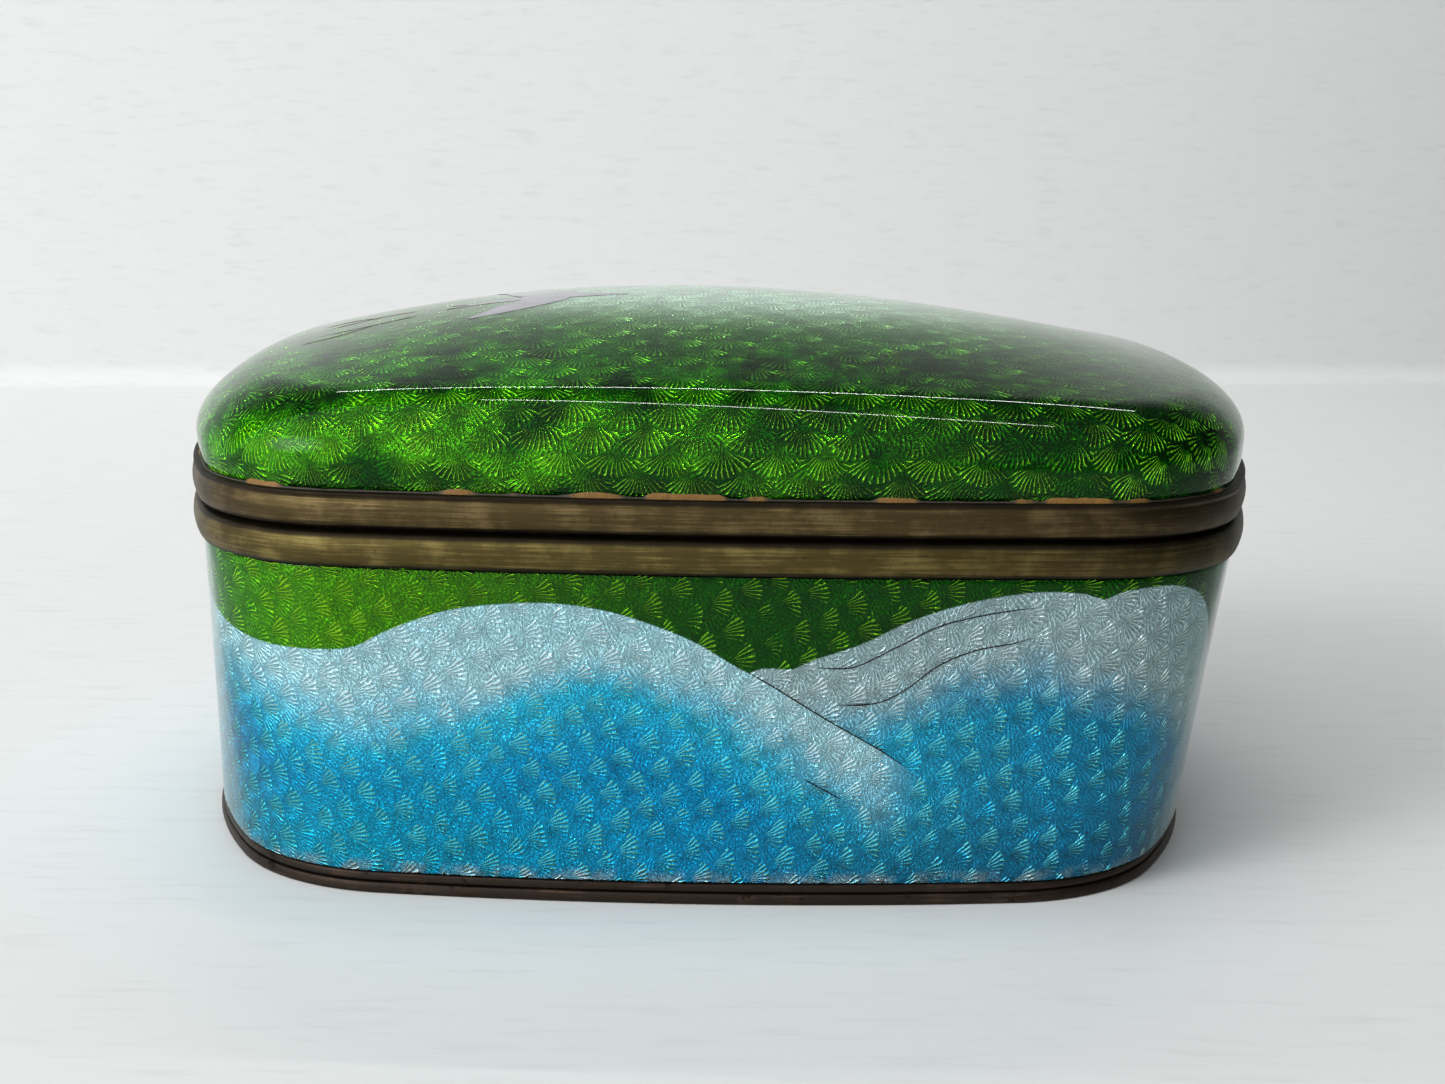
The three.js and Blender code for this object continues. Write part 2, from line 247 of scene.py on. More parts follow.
def through(points, steps):
    """A smooth line through given points (Catmull-Rom), as a list of points."""
    ends = [points[0], *points, points[-1]]
    line = []
    for a, b, c, d in zip(ends, ends[1:], ends[2:], ends[3:]):
        for step in range(steps):
            t = step / steps
            line.append(tuple(
                0.5 * (2 * q + (r - p) * t + (2 * p - 5 * q + 4 * r - s) * t * t
                       + (3 * q - p - 3 * r + s) * t ** 3)
                for p, q, r, s in zip(a, b, c, d)
            ))
    return line + [tuple(points[-1])]


def height_at(line, u):
    """Height of a left-to-right line at the place u."""
    for (u0, v0), (u1, v1) in zip(line, line[1:]):
        if u0 <= u <= u1:
            return v0 + (v1 - v0) * (u - u0) / max(u1 - u0, 1e-9)
    return line[0][1] if u < line[0][0] else line[-1][1]


def ease(value, low, high):
    """0 below low, 1 above high, and a smooth rise between."""
    t = min(max((value - low) / (high - low), 0.0), 1.0)
    return t * t * (3 - 2 * t)


# %% [markdown]
# ## Benches for materials
# Material trees are long lists of small sums, so a few helpers keep them readable: put adds a node and
# fills its sockets, work gives the answer of one sum, and times, plus, minus and the like are short
# names for the commonest sums. Everything is worked out from the
# place on the piece, never from where the camera stands, so the finish stays put in every view.

# %% Helpers that place nodes
def put(tree, kind, inputs=None, **settings):
    """Adds a node. inputs maps a socket's name or number to a value or to another node's output."""
    node = tree.nodes.new(kind)
    for key, value in settings.items():
        setattr(node, key, value)
    for key, value in (inputs or {}).items():
        if isinstance(value, bpy.types.NodeSocket):
            tree.links.new(value, node.inputs[key])
        else:
            node.inputs[key].default_value = value
    return node


def work(operation, tree, *terms, clamp=False):
    """The answer of one Math node."""
    sockets = dict(enumerate(terms))
    return put(tree, "ShaderNodeMath", sockets, operation=operation, use_clamp=clamp).outputs[0]


times, plus, minus = (partial(work, name) for name in ("MULTIPLY", "ADD", "SUBTRACT"))
scaled, greatest = (partial(work, name) for name in ("MULTIPLY_ADD", "MAXIMUM"))
over, power, size_of = (partial(work, name) for name in ("DIVIDE", "POWER", "ABSOLUTE"))


def rise(tree, value, low, high):
    """0 below low and 1 above high, with a smooth step between."""
    settings = {"Value": value, "From Min": low, "From Max": high}
    return put(tree, "ShaderNodeMapRange", settings, interpolation_type="SMOOTHSTEP").outputs["Result"]


def tint(tree, share, first, second, blend="MIX"):
    """Mixes two colours; a share of 1 gives the second."""
    colours = {0: share, 6: first, 7: second}
    for slot in (6, 7):
        if isinstance(colours[slot], tuple):
            colours[slot] = (*colours[slot], 1.0)
    return put(tree, "ShaderNodeMix", colours, data_type="RGBA", blend_type=blend).outputs[2]


def cloud(tree, place, scale, detail=2.0, rough=0.5, output="Fac"):
    """Soft random clouds. scale is in waves per unit of place."""
    inputs = {"Vector": place, "Scale": scale, "Detail": detail, "Roughness": rough}
    return put(tree, "ShaderNodeTexNoise", inputs).outputs[output]


def new_material(name):
    material = bpy.data.materials.new(name)
    material.use_nodes = True
    tree = material.node_tree
    return material, tree, tree.nodes["Principled BSDF"]


def object_place(tree):
    """The place on the piece in metres."""
    return put(tree, "ShaderNodeTexCoord").outputs["Object"]


def add_bump(tree, shader, height, depth, strength=1.0):
    """Bump on the shader; depth is in metres."""
    bump = put(tree, "ShaderNodeBump", {"Height": height, "Distance": depth, "Strength": strength})
    tree.links.new(bump.outputs[0], shader.inputs["Normal"])


def set_sockets(shader, **values):
    for name, value in values.items():
        shader.inputs[name.replace("_", " ")].default_value = value


# %% [markdown]
# ## Stamped foil
# Before it is laid, the silver foil is struck with a die that leaves rows of little fans like fish
# scales: each has about a dozen ridges that spread from one point, and the row above overlaps its
# shoulders. The pattern is a rule, so it is worked out in a node group. A place is first turned so the
# fans open downwards. It can lie in two fans, one in the row just above it and one in the row above
# that. The upper one wins while the place is within its reach. Ridges are then waves of the angle.

# %% The fan group
FAN_WIDTH, FAN_ROW = 3.5, 1.65
FAN_REACH = math.hypot(FAN_WIDTH / 2, FAN_ROW)
RIDGES_PER_TURN = 34.0
RIDGE_WOBBLE = 0.2
CRUMPLE, BELLY = 0.75, 0.3


def fan_in_row(tree, across, row, drop):
    """Distance sideways from the nearest fan's apex in a row, its number, and its reach to the place."""
    odd = work("FLOORED_MODULO", tree, row, 2.0)
    place = plus(tree, over(tree, across, FAN_WIDTH), times(tree, odd, 0.5))
    number = work("ROUND", tree, place)
    side = times(tree, minus(tree, place, number), FAN_WIDTH)
    reach = work("SQRT", tree, plus(tree, power(tree, side, 2.0), power(tree, drop, 2.0)))
    return side, number, reach


def make_fan_group():
    tree = bpy.data.node_groups.new("stamped_fans", "ShaderNodeTree")
    tree.interface.new_socket("Place", in_out="INPUT", socket_type="NodeSocketVector")
    for name in ("Turn", "Painted_Side_Glint"):
        tree.interface.new_socket(name, in_out="INPUT", socket_type="NodeSocketFloat")
    for name in ("Ridge", "Chance", "Height", "Glitter"):
        tree.interface.new_socket(name, in_out="OUTPUT", socket_type="NodeSocketFloat")
    given = put(tree, "NodeGroupInput")
    sway = put(tree, "ShaderNodeVectorMath", {0: cloud(tree, given.outputs["Place"], 0.16, output="Color"),
                                              1: (0.5, 0.5, 0.5)}, operation="SUBTRACT").outputs[0]
    loose = put(tree, "ShaderNodeVectorMath", {0: sway, 1: (1.7, 1.7, 0.0), 2: given.outputs["Place"]},
                operation="MULTIPLY_ADD").outputs[0]
    turned = put(tree, "ShaderNodeVectorRotate", {"Vector": loose, "Angle": given.outputs["Turn"]},
                 rotation_type="Z_AXIS").outputs[0]
    axes = put(tree, "ShaderNodeSeparateXYZ", {0: turned})
    across, up = axes.outputs[0], axes.outputs[1]
    down = over(tree, up, -FAN_ROW)
    row = work("FLOOR", tree, down)
    part = minus(tree, down, row)
    near_drop = times(tree, part, FAN_ROW)
    far_drop = plus(tree, near_drop, FAN_ROW)
    far_row = minus(tree, row, 1.0)
    near = fan_in_row(tree, across, row, near_drop)
    far = fan_in_row(tree, across, far_row, far_drop)
    upper = work("LESS_THAN", tree, far[2], FAN_REACH)

    def choose(a, b):
        return plus(tree, a, times(tree, upper, minus(tree, b, a)))

    side, number, reach = (choose(a, b) for a, b in zip(near, far))
    drop, line = choose(near_drop, far_drop), choose(row, far_row)
    mark = put(tree, "ShaderNodeCombineXYZ", {0: number, 1: line}).outputs[0]
    chance = put(tree, "ShaderNodeTexWhiteNoise", {"Vector": mark}, noise_dimensions="2D").outputs["Value"]
    angle = work("ARCTAN2", tree, side, drop)
    bend = times(tree, cloud(tree, loose, 1.1, 3.0, 0.6), RIDGE_WOBBLE)
    turns = times(tree, plus(tree, angle, bend), RIDGES_PER_TURN)
    phase = times(tree, chance, 6.0)
    wave = scaled(tree, work("COSINE", tree, plus(tree, turns, phase)), 0.5, 0.5)
    start = rise(tree, reach, 0.35, 0.9)
    stop = rise(tree, reach, FAN_REACH - 0.05, FAN_REACH - 0.4)
    sharp = scaled(tree, reach, -0.9, 4.2)
    ridge = times(tree, power(tree, wave, sharp), times(tree, start, stop))
    # the die struck unevenly: whole fans are faint in places, and single ridges are broken
    uneven = rise(tree, cloud(tree, loose, 0.33, 3.0), 0.34, 0.60)
    broken = scaled(tree, rise(tree, cloud(tree, loose, 2.6, 2.0), 0.36, 0.56), 0.45, 0.55)
    strike = scaled(tree, uneven, 0.75, scaled(tree, chance, 0.25, 0.10))
    ridge = times(tree, ridge, times(tree, strike, broken))
    # painted highlight: ridges on one side of each fan are made brighter than those on the other,
    # as if that side faced the light, by as much as the input says; the bump follows the same ridges
    side_highlight = scaled(tree, rise(tree, side, -0.5, 1.1), 1.7, -0.7)
    ridge = times(tree, ridge, scaled(tree, side_highlight, given.outputs["Painted_Side_Glint"], 1.0))
    glitter = cloud(tree, loose, 4.2, 2.0, 0.6)
    crumple = times(tree, glitter, CRUMPLE)
    belly = times(tree, over(tree, reach, FAN_REACH), BELLY)
    height = plus(tree, plus(tree, ridge, crumple), belly)
    out = put(tree, "NodeGroupOutput")
    for name, value in (("Ridge", ridge), ("Chance", chance), ("Height", height), ("Glitter", glitter)):
        tree.links.new(value, out.inputs[name])
    return tree


fan_group = make_fan_group()
print("fan group:", len(fan_group.nodes), "nodes, reach", round(FAN_REACH, 2), "mm")


# %% [markdown]
# ## Glass over foil
# Transparent enamel on silver foil looks deep because light goes through a smooth glass surface,
# strikes the ridged metal below and comes back coloured. Two layers of one shader do the same: a
# metal base with the fans as bump, tinted as the glass tints it, under a smooth clear coat. Its base
# colour also carries painted light: ridges painted brighter with painted glints, and valleys painted
# darker as painted shade. The coat keeps its own smooth normal, so reflections stay crisp while the
# fans glitter under them.

# %% One shader for both enamels
# painted light in the foil's base colour: a painted highlight on each ridge and painted shade in the
# valleys
RIDGE_HIGHLIGHT_GAIN = 2.6      # how much brighter than the plain tint a ridge is
GLINT_TINT = 0.55     # how far the brightest glints take the glass's colour
VALLEY_SHADE = 0.5    # how far the valleys go to black
BLACK = (0.0, 0.0, 0.0)


def stamp(tree, place, size, turn, side_glint_weight=0.0):
    """The fans laid over a place in millimetres; size 1 gives fans of FAN_WIDTH."""
    spread = put(tree, "ShaderNodeMapping", {"Vector": place, "Scale": (1 / size,) * 3}).outputs[0]
    fans = put(tree, "ShaderNodeGroup", node_tree=fan_group)
    tree.links.new(spread, fans.inputs["Place"])
    fans.inputs["Turn"].default_value = math.radians(turn)
    fans.inputs["Painted_Side_Glint"].default_value = side_glint_weight
    return fans


def glass_over_foil(tree, shader, colour, fans, second, glint_colour, edge_tint, depth_mm, second_share,
                    cloudy):
    """Joins a tint and two strikes of fans to the shader: painted highlights on the ridges, painted
    shade in the valleys.
    cloudy is 0 where the glass is clear and up to 1 where it hides the foil."""
    ridge = greatest(tree, fans.outputs["Ridge"], times(tree, second.outputs["Ridge"], second_share))
    height = scaled(tree, second.outputs["Ridge"], second_share, fans.outputs["Height"])
    glitter = rise(tree, fans.outputs["Glitter"], 0.58, 0.76)
    # painted shade darkens the valleys, a painted highlight brightens the ridges, and painted glints are
    # added on the brightest
    valley = tint(tree, VALLEY_SHADE, colour, BLACK)
    lit = tint(tree, 1.0, colour, (RIDGE_HIGHLIGHT_GAIN,) * 3, blend="MULTIPLY")
    crest = plus(tree, times(tree, ridge, 1.3), times(tree, glitter, 0.4), clamp=True)
    tinted = tint(tree, crest, valley, lit)
    bare = scaled(tree, cloudy, -0.7, 1.0)
    glint = tint(tree, times(tree, rise(tree, crest, 0.3, 0.9), bare), BLACK, glint_colour)
    steeped = tint(tree, GLINT_TINT, glint, tint(tree, 1.0, glint, colour, blend="MULTIPLY"))
    tree.links.new(tint(tree, 1.0, tinted, steeped, blend="ADD"), shader.inputs["Base Color"])
    add_bump(tree, shader, height, depth_mm * MM)
    tree.links.new(scaled(tree, fans.outputs["Chance"], 0.08, 0.16), shader.inputs["Roughness"])
    tree.links.new(scaled(tree, cloudy, -0.8, 1.0), shader.inputs["Metallic"])
    set_sockets(shader, Specular_Tint=(*edge_tint, 1.0))
    set_sockets(shader, Coat_Weight=0.85, Coat_Roughness=0.03, Coat_IOR=1.25)


def noted(tree, name):
    """A value the mesh carries at each point."""
    return put(tree, "ShaderNodeAttribute", attribute_name=name).outputs["Fac"]


# %% [markdown]
# ## The painted waves
# The wall is a green band above rolling waves. The waves are laid in while the glass is powder, so
# each has a crisp upper edge, a pale crest and a slow change to deep blue below. The edges are drawn
# as heights along the girth, from the middle of the back round the left end, along the front and
# back again. The mesh carries how far each point is below each edge, and the material turns those
# distances into colour.

# %% Wave edges as (place along the girth, height), both in millimetres
WAVE_STEPS = 6
NEAR_WAVE = through([
    (-121, 15), (-108, 18.5), (-96, 19.5), (-84, 17.5), (-72, 14.5), (-62, 15), (-52, 17.6), (-46, 18.3),
    (-41, 18.0), (-37, 17.4), (-34, 16.8), (-31, 16.4), (-28.6, 16.3), (-25.5, 16.4), (-23.3, 16.7),
    (-21.1, 17.8), (-17.3, 19.2), (-13.5, 19.8), (-9.8, 19.9), (-6, 19.3), (-1.6, 17.8), (1.5, 16.1),
    (4.1, 14.8), (8, 12.6), (11.9, 10.6), (14.6, 9), (20, 6.4), (28, 4.5), (40, 5), (56, 10), (70, 14),
    (84, 16.5), (98, 14), (110, 13), (121, 15),
], WAVE_STEPS)
NEAR_HOLLOW = through([
    (-121, 9.5), (-100, 13), (-80, 11), (-62, 9.5), (-45, 14), (-36, 14.5), (-30, 13), (-24, 12),
    (-19, 12.6), (-16.7, 12.9), (-14.2, 13.5), (-12.3, 14.4), (-9.8, 15.1), (-6, 15.3), (-1, 14.2),
    (2.8, 12.3), (6.7, 10.0), (10, 7.8), (14, 6), (22, 3), (40, 1), (60, 6), (84, 11), (104, 9),
    (121, 9.5),
], WAVE_STEPS)
FAR_WAVE = through([
    (-121, 11), (-100, 12), (-70, 19), (-62, 20), (-54, 17), (-40, 10), (-10, 10), (0, 13.5),
    (2.8, 15.8), (5.3, 15.9), (6.5, 16.5), (9.6, 17.6), (12.7, 19.2), (16.4, 20.4), (20.1, 21),
    (23.3, 20.9), (24.7, 20.5), (25.9, 21), (28.4, 21.2), (30.6, 21.0), (33.0, 20.2), (35.2, 18.7),
    (37.4, 16.6), (41, 14.4), (48, 16), (56, 18.6), (64, 20), (72, 18.6), (82, 15.5), (92, 16.8),
    (102, 19.5), (112, 16), (121, 11),
], WAVE_STEPS)
FAR_HOLLOW = through([
    (-121, 8), (-70, 14), (-54, 11), (-40, 6), (0, 8), (6, 10), (10, 11.5), (14, 12.8), (19, 14.4),
    (24, 14.4), (29, 12.6), (34, 10.5), (44, 9.5), (60, 14.5), (76, 13), (92, 12), (104, 13.5), (121, 8),
], WAVE_STEPS)


def wave_notes(heights):
    """What the mesh carries: distance below each edge, in mm, for every ring of the wall."""
    lines = dict(near_wave=NEAR_WAVE, near_hollow=NEAR_HOLLOW, far_wave=FAR_WAVE, far_hollow=FAR_HOLLOW)
    notes = {}
    for name, line in lines.items():
        tops = [height_at(line, u) for u in ALONG[:-1]]
        notes[name] = [[top - height for top in tops] for height in heights]
    return notes


print("wave edges:", len(NEAR_WAVE), "and", len(FAR_WAVE), "points along the crests")


# %% Colours of the wall
BAND_LEFT = (0.085, 0.36, 0.001)
BAND_RIGHT = (0.004, 0.09, 0.001)
CREST_PALE = (0.50, 0.88, 0.97)
CREST_GREY = (0.46, 0.66, 0.68)
SEA_MID = (0.03, 0.66, 1.0)
SEA_DEEP = (0.0, 0.40, 0.78)
SEA_TURQUOISE = (0.0, 0.48, 0.70)
SEA_TEAL = (0.008, 0.22, 0.29)
# painted glints on the foil's ridges: pale over the waves, yellow green over the band
WATER_GLINT = (0.40, 0.66, 0.62)
BAND_GLINT = (0.55, 1.0, 0.03)
SEA_SHADE = (0.0, 0.19, 0.46)
SPECK_DARK, EDGE_TEAL = (0.01, 0.05, 0.03), (0.04, 0.30, 0.30)
# pairs (from, to) in mm: along the girth, up the wall, or below a painted edge
LINE = (-0.06, 0.06)                                  # the crisp edge of a wave
BACK_FROM_TO = (70.0, 112.0)                          # the front's colours give way to the back's
BAND_TURNS = (-30.0, 2.0)                             # the band goes from yellow green to deep green
SOFT_LEFT, SOFT_RIGHT = (-14.0, -20.0), (-7.0, 8.0)   # beyond these the crest turns to sea slowly
SOFT_SMALL, SOFT_MORE = 1.3, 1.4                      # depth of that turn, and what slowness adds
DEEP_FROM_TO, FAR_SEA = (0.5, 6.0), (-3.6, 1.5)       # the near sea gets deep, the far crest ends
NEAR_ENDS, NEAR_AGAIN = (15.5, 10.0), (34.0, 44.0)    # the near wave stops, and starts again
LOW_LEFT, LOW_RIGHT = ((11.0, 3.0), (5.0, -26.0)), ((8.5, 2.0), (-2.0, 20.0))
LOW_SHARE = 0.75                                      # turquoise low on the left, teal on the right
SHADE_TURNS, SHADE_SHARE = (2.0, 26.0), 0.6           # the sea is darker to the right


def paint_wall():
    material, tree, shader = new_material("enamel_waves_over_foil")
    place = put(tree, "ShaderNodeUVMap", uv_map="surface_mm").outputs[0]
    axes = put(tree, "ShaderNodeSeparateXYZ", {0: place})
    u, v = axes.outputs[0], axes.outputs[1]
    # the two ends of the girth meet at the back, so whatever depends on u fades out before it
    round_the_back = rise(tree, size_of(tree, u), *BACK_FROM_TO)
    in_front = minus(tree, 1.0, round_the_back)
    drift = times(tree, scaled(tree, cloud(tree, place, 0.22, 3.0), 4.0, -2.0), in_front)
    near, near_in = noted(tree, "near_wave"), noted(tree, "near_hollow")
    far, far_in = noted(tree, "far_wave"), noted(tree, "far_hollow")
    band_share = times(tree, rise(tree, plus(tree, u, drift), *BAND_TURNS), in_front)
    band = tint(tree, scaled(tree, round_the_back, 0.5, band_share), BAND_LEFT, BAND_RIGHT)
    # the change from crest to sea is sudden in the middle of the front and slow to both sides of it
    soft = greatest(tree, rise(tree, u, *SOFT_LEFT), rise(tree, u, *SOFT_RIGHT))
    soft = scaled(tree, soft, SOFT_MORE, SOFT_SMALL)
    into = plus(tree, near_in, times(tree, drift, times(tree, soft, 0.4)))
    near_sea = rise(tree, into, times(tree, soft, -1.0), soft)
    sea = tint(tree, rise(tree, plus(tree, near_in, drift), *DEEP_FROM_TO), SEA_MID, SEA_DEEP)
    for (heights, places), colour in ((LOW_LEFT, SEA_TURQUOISE), (LOW_RIGHT, SEA_TEAL)):
        low = times(tree, rise(tree, plus(tree, v, drift), *heights), rise(tree, u, *places))
        sea = tint(tree, times(tree, low, times(tree, in_front, LOW_SHARE)), sea, colour)
    # painted shade: the sea is darkened towards the right, away from the window
    shade = times(tree, rise(tree, plus(tree, u, drift), *SHADE_TURNS), in_front)
    sea = tint(tree, times(tree, shade, SHADE_SHARE), sea, SEA_SHADE)
    # the far wave lies on the band and the near wave on both
    far_sea = rise(tree, plus(tree, far_in, drift), *FAR_SEA)
    far_shown = rise(tree, far, *LINE)
    colour = tint(tree, far_shown, band, tint(tree, far_sea, CREST_GREY, sea))
    near_place = greatest(tree, rise(tree, u, *NEAR_ENDS), rise(tree, u, *NEAR_AGAIN))
    shown = times(tree, rise(tree, near, *LINE), near_place)
    colour = tint(tree, shown, colour, tint(tree, near_sea, CREST_PALE, sea))
    # crests are clouded glass, which hides part of the foil
    far_pale = times(tree, times(tree, far_shown, minus(tree, 1.0, far_sea)), minus(tree, 1.0, shown))
    near_pale = times(tree, shown, minus(tree, 1.0, near_sea))
    pale = times(tree, plus(tree, far_pale, near_pale), 0.35)
    # chips along the foot and dark specks
    ledge = times(tree, rise(tree, v, 2.5, 1.7), rise(tree, cloud(tree, place, 0.5, 3.0), 0.42, 0.6))
    colour = tint(tree, times(tree, ledge, 0.6), colour, CREST_GREY)
    specks = rise(tree, cloud(tree, place, 2.1, 1.0), 0.76, 0.79)
    colour = tint(tree, times(tree, specks, 0.8), colour, SPECK_DARK)
    # the first strike of the wall's fans carries the full painted highlight on one side of each fan
    fans, second = stamp(tree, place, 0.82, -72, side_glint_weight=1.0), stamp(tree, place, 0.9, -20)
    # painted glint colour: yellow green over the band, pale where a wave is shown
    sparkle = tint(tree, greatest(tree, far_shown, shown), BAND_GLINT, WATER_GLINT)
    glass_over_foil(tree, shader, colour, fans, second, sparkle, EDGE_TEAL, 0.19, 0.15, pale)
    return material


wall_enamel = paint_wall()
print("wall material:", len(wall_enamel.node_tree.nodes), "nodes")


# %% [markdown]
# ## The lid's green
# The lid is deep green round its shoulder and fades to mint over the crown, where the glass was laid
# thin. The fade is an oval measured from the middle of the lid, broken up a little by clouds, as it is
# where powder was sifted on. The foil's fans open towards the front edge.

# %% Colours of the lid
LID_DEEP = (0.002, 0.075, 0.001)
LID_LIT = (0.08, 0.44, 0.003)
LID_GREY = (0.10, 0.27, 0.08)
LID_MINT = (0.46, 0.74, 0.54)
LID_GLINT = (0.46, 0.85, 0.04)
LID_SPECK, EDGE_GREEN = (0.03, 0.06, 0.02), (0.03, 0.25, 0.02)
OVAL_HALF_X, OVAL_HALF_Y = 42.0, 23.0
GREY_OVAL, MINT_OVAL = (0.84, 0.52), (0.64, 0.20)
LIT_SIDE_TURNS = (30.0, -30.0)


def paint_lid():
    material, tree, shader = new_material("enamel_green_over_foil")
    flat = put(tree, "ShaderNodeUVMap", uv_map="surface_mm").outputs[0]
    spot = put(tree, "ShaderNodeSeparateXYZ", {0: flat})
    x, y = over(tree, spot.outputs[0], OVAL_HALF_X), over(tree, spot.outputs[1], OVAL_HALF_Y)
    oval = work("SQRT", tree, plus(tree, power(tree, x, 2.0), power(tree, y, 2.0)))
    oval = plus(tree, oval, scaled(tree, cloud(tree, flat, 0.12, 4.0), 0.2, -0.1))
    # painted light: lighter green patches are kept to the left half of the lid, the side towards the window
    lit_patches = rise(tree, cloud(tree, flat, 0.25, 3.0), 0.35, 0.65)
    lit_patches = times(tree, lit_patches, rise(tree, spot.outputs[0], *LIT_SIDE_TURNS))
    colour = tint(tree, rise(tree, oval, *GREY_OVAL), tint(tree, lit_patches, LID_DEEP, LID_LIT), LID_GREY)
    mint = rise(tree, oval, *MINT_OVAL)
    colour = tint(tree, mint, colour, LID_MINT)
    specks = rise(tree, cloud(tree, flat, 1.7, 2.0), 0.72, 0.76)
    colour = tint(tree, times(tree, specks, 0.55), colour, LID_SPECK)
    fans, second = stamp(tree, flat, 0.93, 0), stamp(tree, flat, 0.8, 35)
    glass_over_foil(tree, shader, colour, fans, second, LID_GLINT, EDGE_GREEN, 0.16, 0.35, mint)
    return material


lid_enamel = paint_lid()
print("lid material:", len(lid_enamel.node_tree.nodes), "nodes")


# %% [markdown]
# ## Metals, linings and cement
# Old brass handled for a century goes olive brown, nearly black in blotches, and shows paler metal
# where fingers rub it. On the rims, painted shade darkens the top and bottom edges, by the gap and
# the glass, and the ends, most of all the right one. The rims carry the distance along their sweep,
# so fine drag marks run lengthwise. Copper at the foot is darker still. The inside is covered with
# plain counter enamel, which stops the copper from warping when it cools, and which is speckled by
# the kiln.

# %% Brass, copper, counter enamel and wire
METAL_BUMP = 0.035 * MM
RIM_SHADE_ENDS = (16.0, 42.0)       # mm from the middle where painted shade darkens a rim towards its ends


def metal_place(tree, along):
    """Millimetres: along the sweep where the mesh has it, or the plain place of the piece."""
    place = put(tree, "ShaderNodeVectorMath", {0: object_place(tree), 1: (1 / MM,) * 3},
                operation="MULTIPLY").outputs[0]
    if not along:
        return place, place
    height = put(tree, "ShaderNodeSeparateXYZ", {0: place}).outputs[2]
    way = put(tree, "ShaderNodeCombineXYZ", {0: noted(tree, "along_mm"), 1: height}).outputs[0]
    drag = put(tree, "ShaderNodeMapping", {"Vector": way, "Scale": (0.10, 3.4, 1.0)}).outputs[0]
    return place, drag


def aged_metal(name, worn, tarnish, black, rim=None, along=False, rough=(0.3, 0.55), worn_share=0.5):
    """rim is (bottom, top) of a moulding in mm: painted shade darkens its top and bottom edges and its
    ends.
    """
    material, tree, shader = new_material(name)
    place, drag = metal_place(tree, along)
    axes = put(tree, "ShaderNodeSeparateXYZ", {0: place})
    blotch = cloud(tree, place, 0.45, 5.0, 0.6)
    fine = cloud(tree, drag, 1.6, 4.0, 0.65)
    rub = plus(tree, times(tree, blotch, 0.6), times(tree, fine, 0.55))
    colour = tint(tree, rise(tree, rub, 0.66 - 0.3 * worn_share, 0.95 - 0.3 * worn_share), tarnish, worn)
    dark = rise(tree, cloud(tree, place, 0.9, 6.0, 0.7), 0.56, 0.70)
    if rim:
        share = put(tree, "ShaderNodeMapRange",
                    {"Value": axes.outputs[2], "From Min": rim[0], "From Max": rim[1]})
        share = plus(tree, share.outputs[0], scaled(tree, fine, 0.16, -0.08))
        # painted shade: the rim's top and bottom edges, by the gap between the rims and by the glass, are
        # darkened
        edge = greatest(tree, rise(tree, share, 0.22, 0.04), rise(tree, share, 0.80, 0.92))
        # painted shade: the rim also darkens towards its ends, most at the right end, away from the window
        far_end = rise(tree, size_of(tree, plus(tree, axes.outputs[0], 6.0)), *RIM_SHADE_ENDS)
        painted_shade = greatest(tree, edge, times(tree, far_end, 0.8))
        dark = greatest(tree, times(tree, dark, 0.5), times(tree, painted_shade, 0.9))
    colour = tint(tree, dark, colour, black)
    tree.links.new(colour, shader.inputs["Base Color"])
    roughness = scaled(tree, fine, rough[1] - rough[0], rough[0])
    tree.links.new(scaled(tree, dark, 0.15, roughness), shader.inputs["Roughness"])
    grain = plus(tree, times(tree, fine, 0.7), times(tree, cloud(tree, place, 3.5, 4.0), 0.3))
    add_bump(tree, shader, grain, METAL_BUMP)
    set_sockets(shader, Metallic=0.92)
    return material


def counter_enamel():
    material, tree, shader = new_material("counter_enamel_blue")
    place = object_place(tree)
    clouds = cloud(tree, place, 90.0, 4.0)
    colour = tint(tree, rise(tree, clouds, 0.35, 0.7), (0.010, 0.045, 0.13), (0.018, 0.09, 0.22))
    speck = put(tree, "ShaderNodeTexVoronoi", {"Vector": place, "Scale": 900.0}).outputs["Distance"]
    colour = tint(tree, rise(tree, speck, 0.16, 0.08), colour, (0.10, 0.26, 0.38))
    tree.links.new(colour, shader.inputs["Base Color"])
    add_bump(tree, shader, cloud(tree, place, 260.0), 0.05 * MM)
    set_sockets(shader, Roughness=0.22, Coat_Weight=0.6, Coat_Roughness=0.08)
    return material


rim_brass_body = aged_metal(
    "brass_rim_body", (0.27, 0.205, 0.068), (0.085, 0.062, 0.019), (0.014, 0.010, 0.007),
    rim=BODY_RIM_Z, along=True,
)
rim_brass_lid = aged_metal(
    "brass_rim_lid", (0.24, 0.17, 0.072), (0.075, 0.052, 0.02), (0.013, 0.009, 0.007),
    rim=LID_RIM_Z, along=True,
)
bezel_brass = aged_metal(
    "brass_bezel", (0.55, 0.44, 0.22), (0.30, 0.23, 0.11), (0.05, 0.035, 0.02), worn_share=0.8,
)
hinge_brass = aged_metal(
    "brass_hinge", (0.45, 0.36, 0.18), (0.16, 0.12, 0.06), (0.02, 0.015, 0.01), worn_share=0.6,
)
foot_copper = aged_metal(
    "copper_foot", (0.16, 0.10, 0.07), (0.035, 0.024, 0.018), (0.008, 0.006, 0.005),
    along=True, rough=(0.35, 0.6), worn_share=0.25,
)
shell_copper = aged_metal(
    "copper_shell", (0.62, 0.30, 0.18), (0.34, 0.15, 0.09), (0.06, 0.03, 0.02), worn_share=0.7,
)
wire_brown = aged_metal(
    "wire_brown", (0.20, 0.15, 0.12), (0.10, 0.07, 0.06), (0.04, 0.03, 0.025), worn_share=0.5,
)
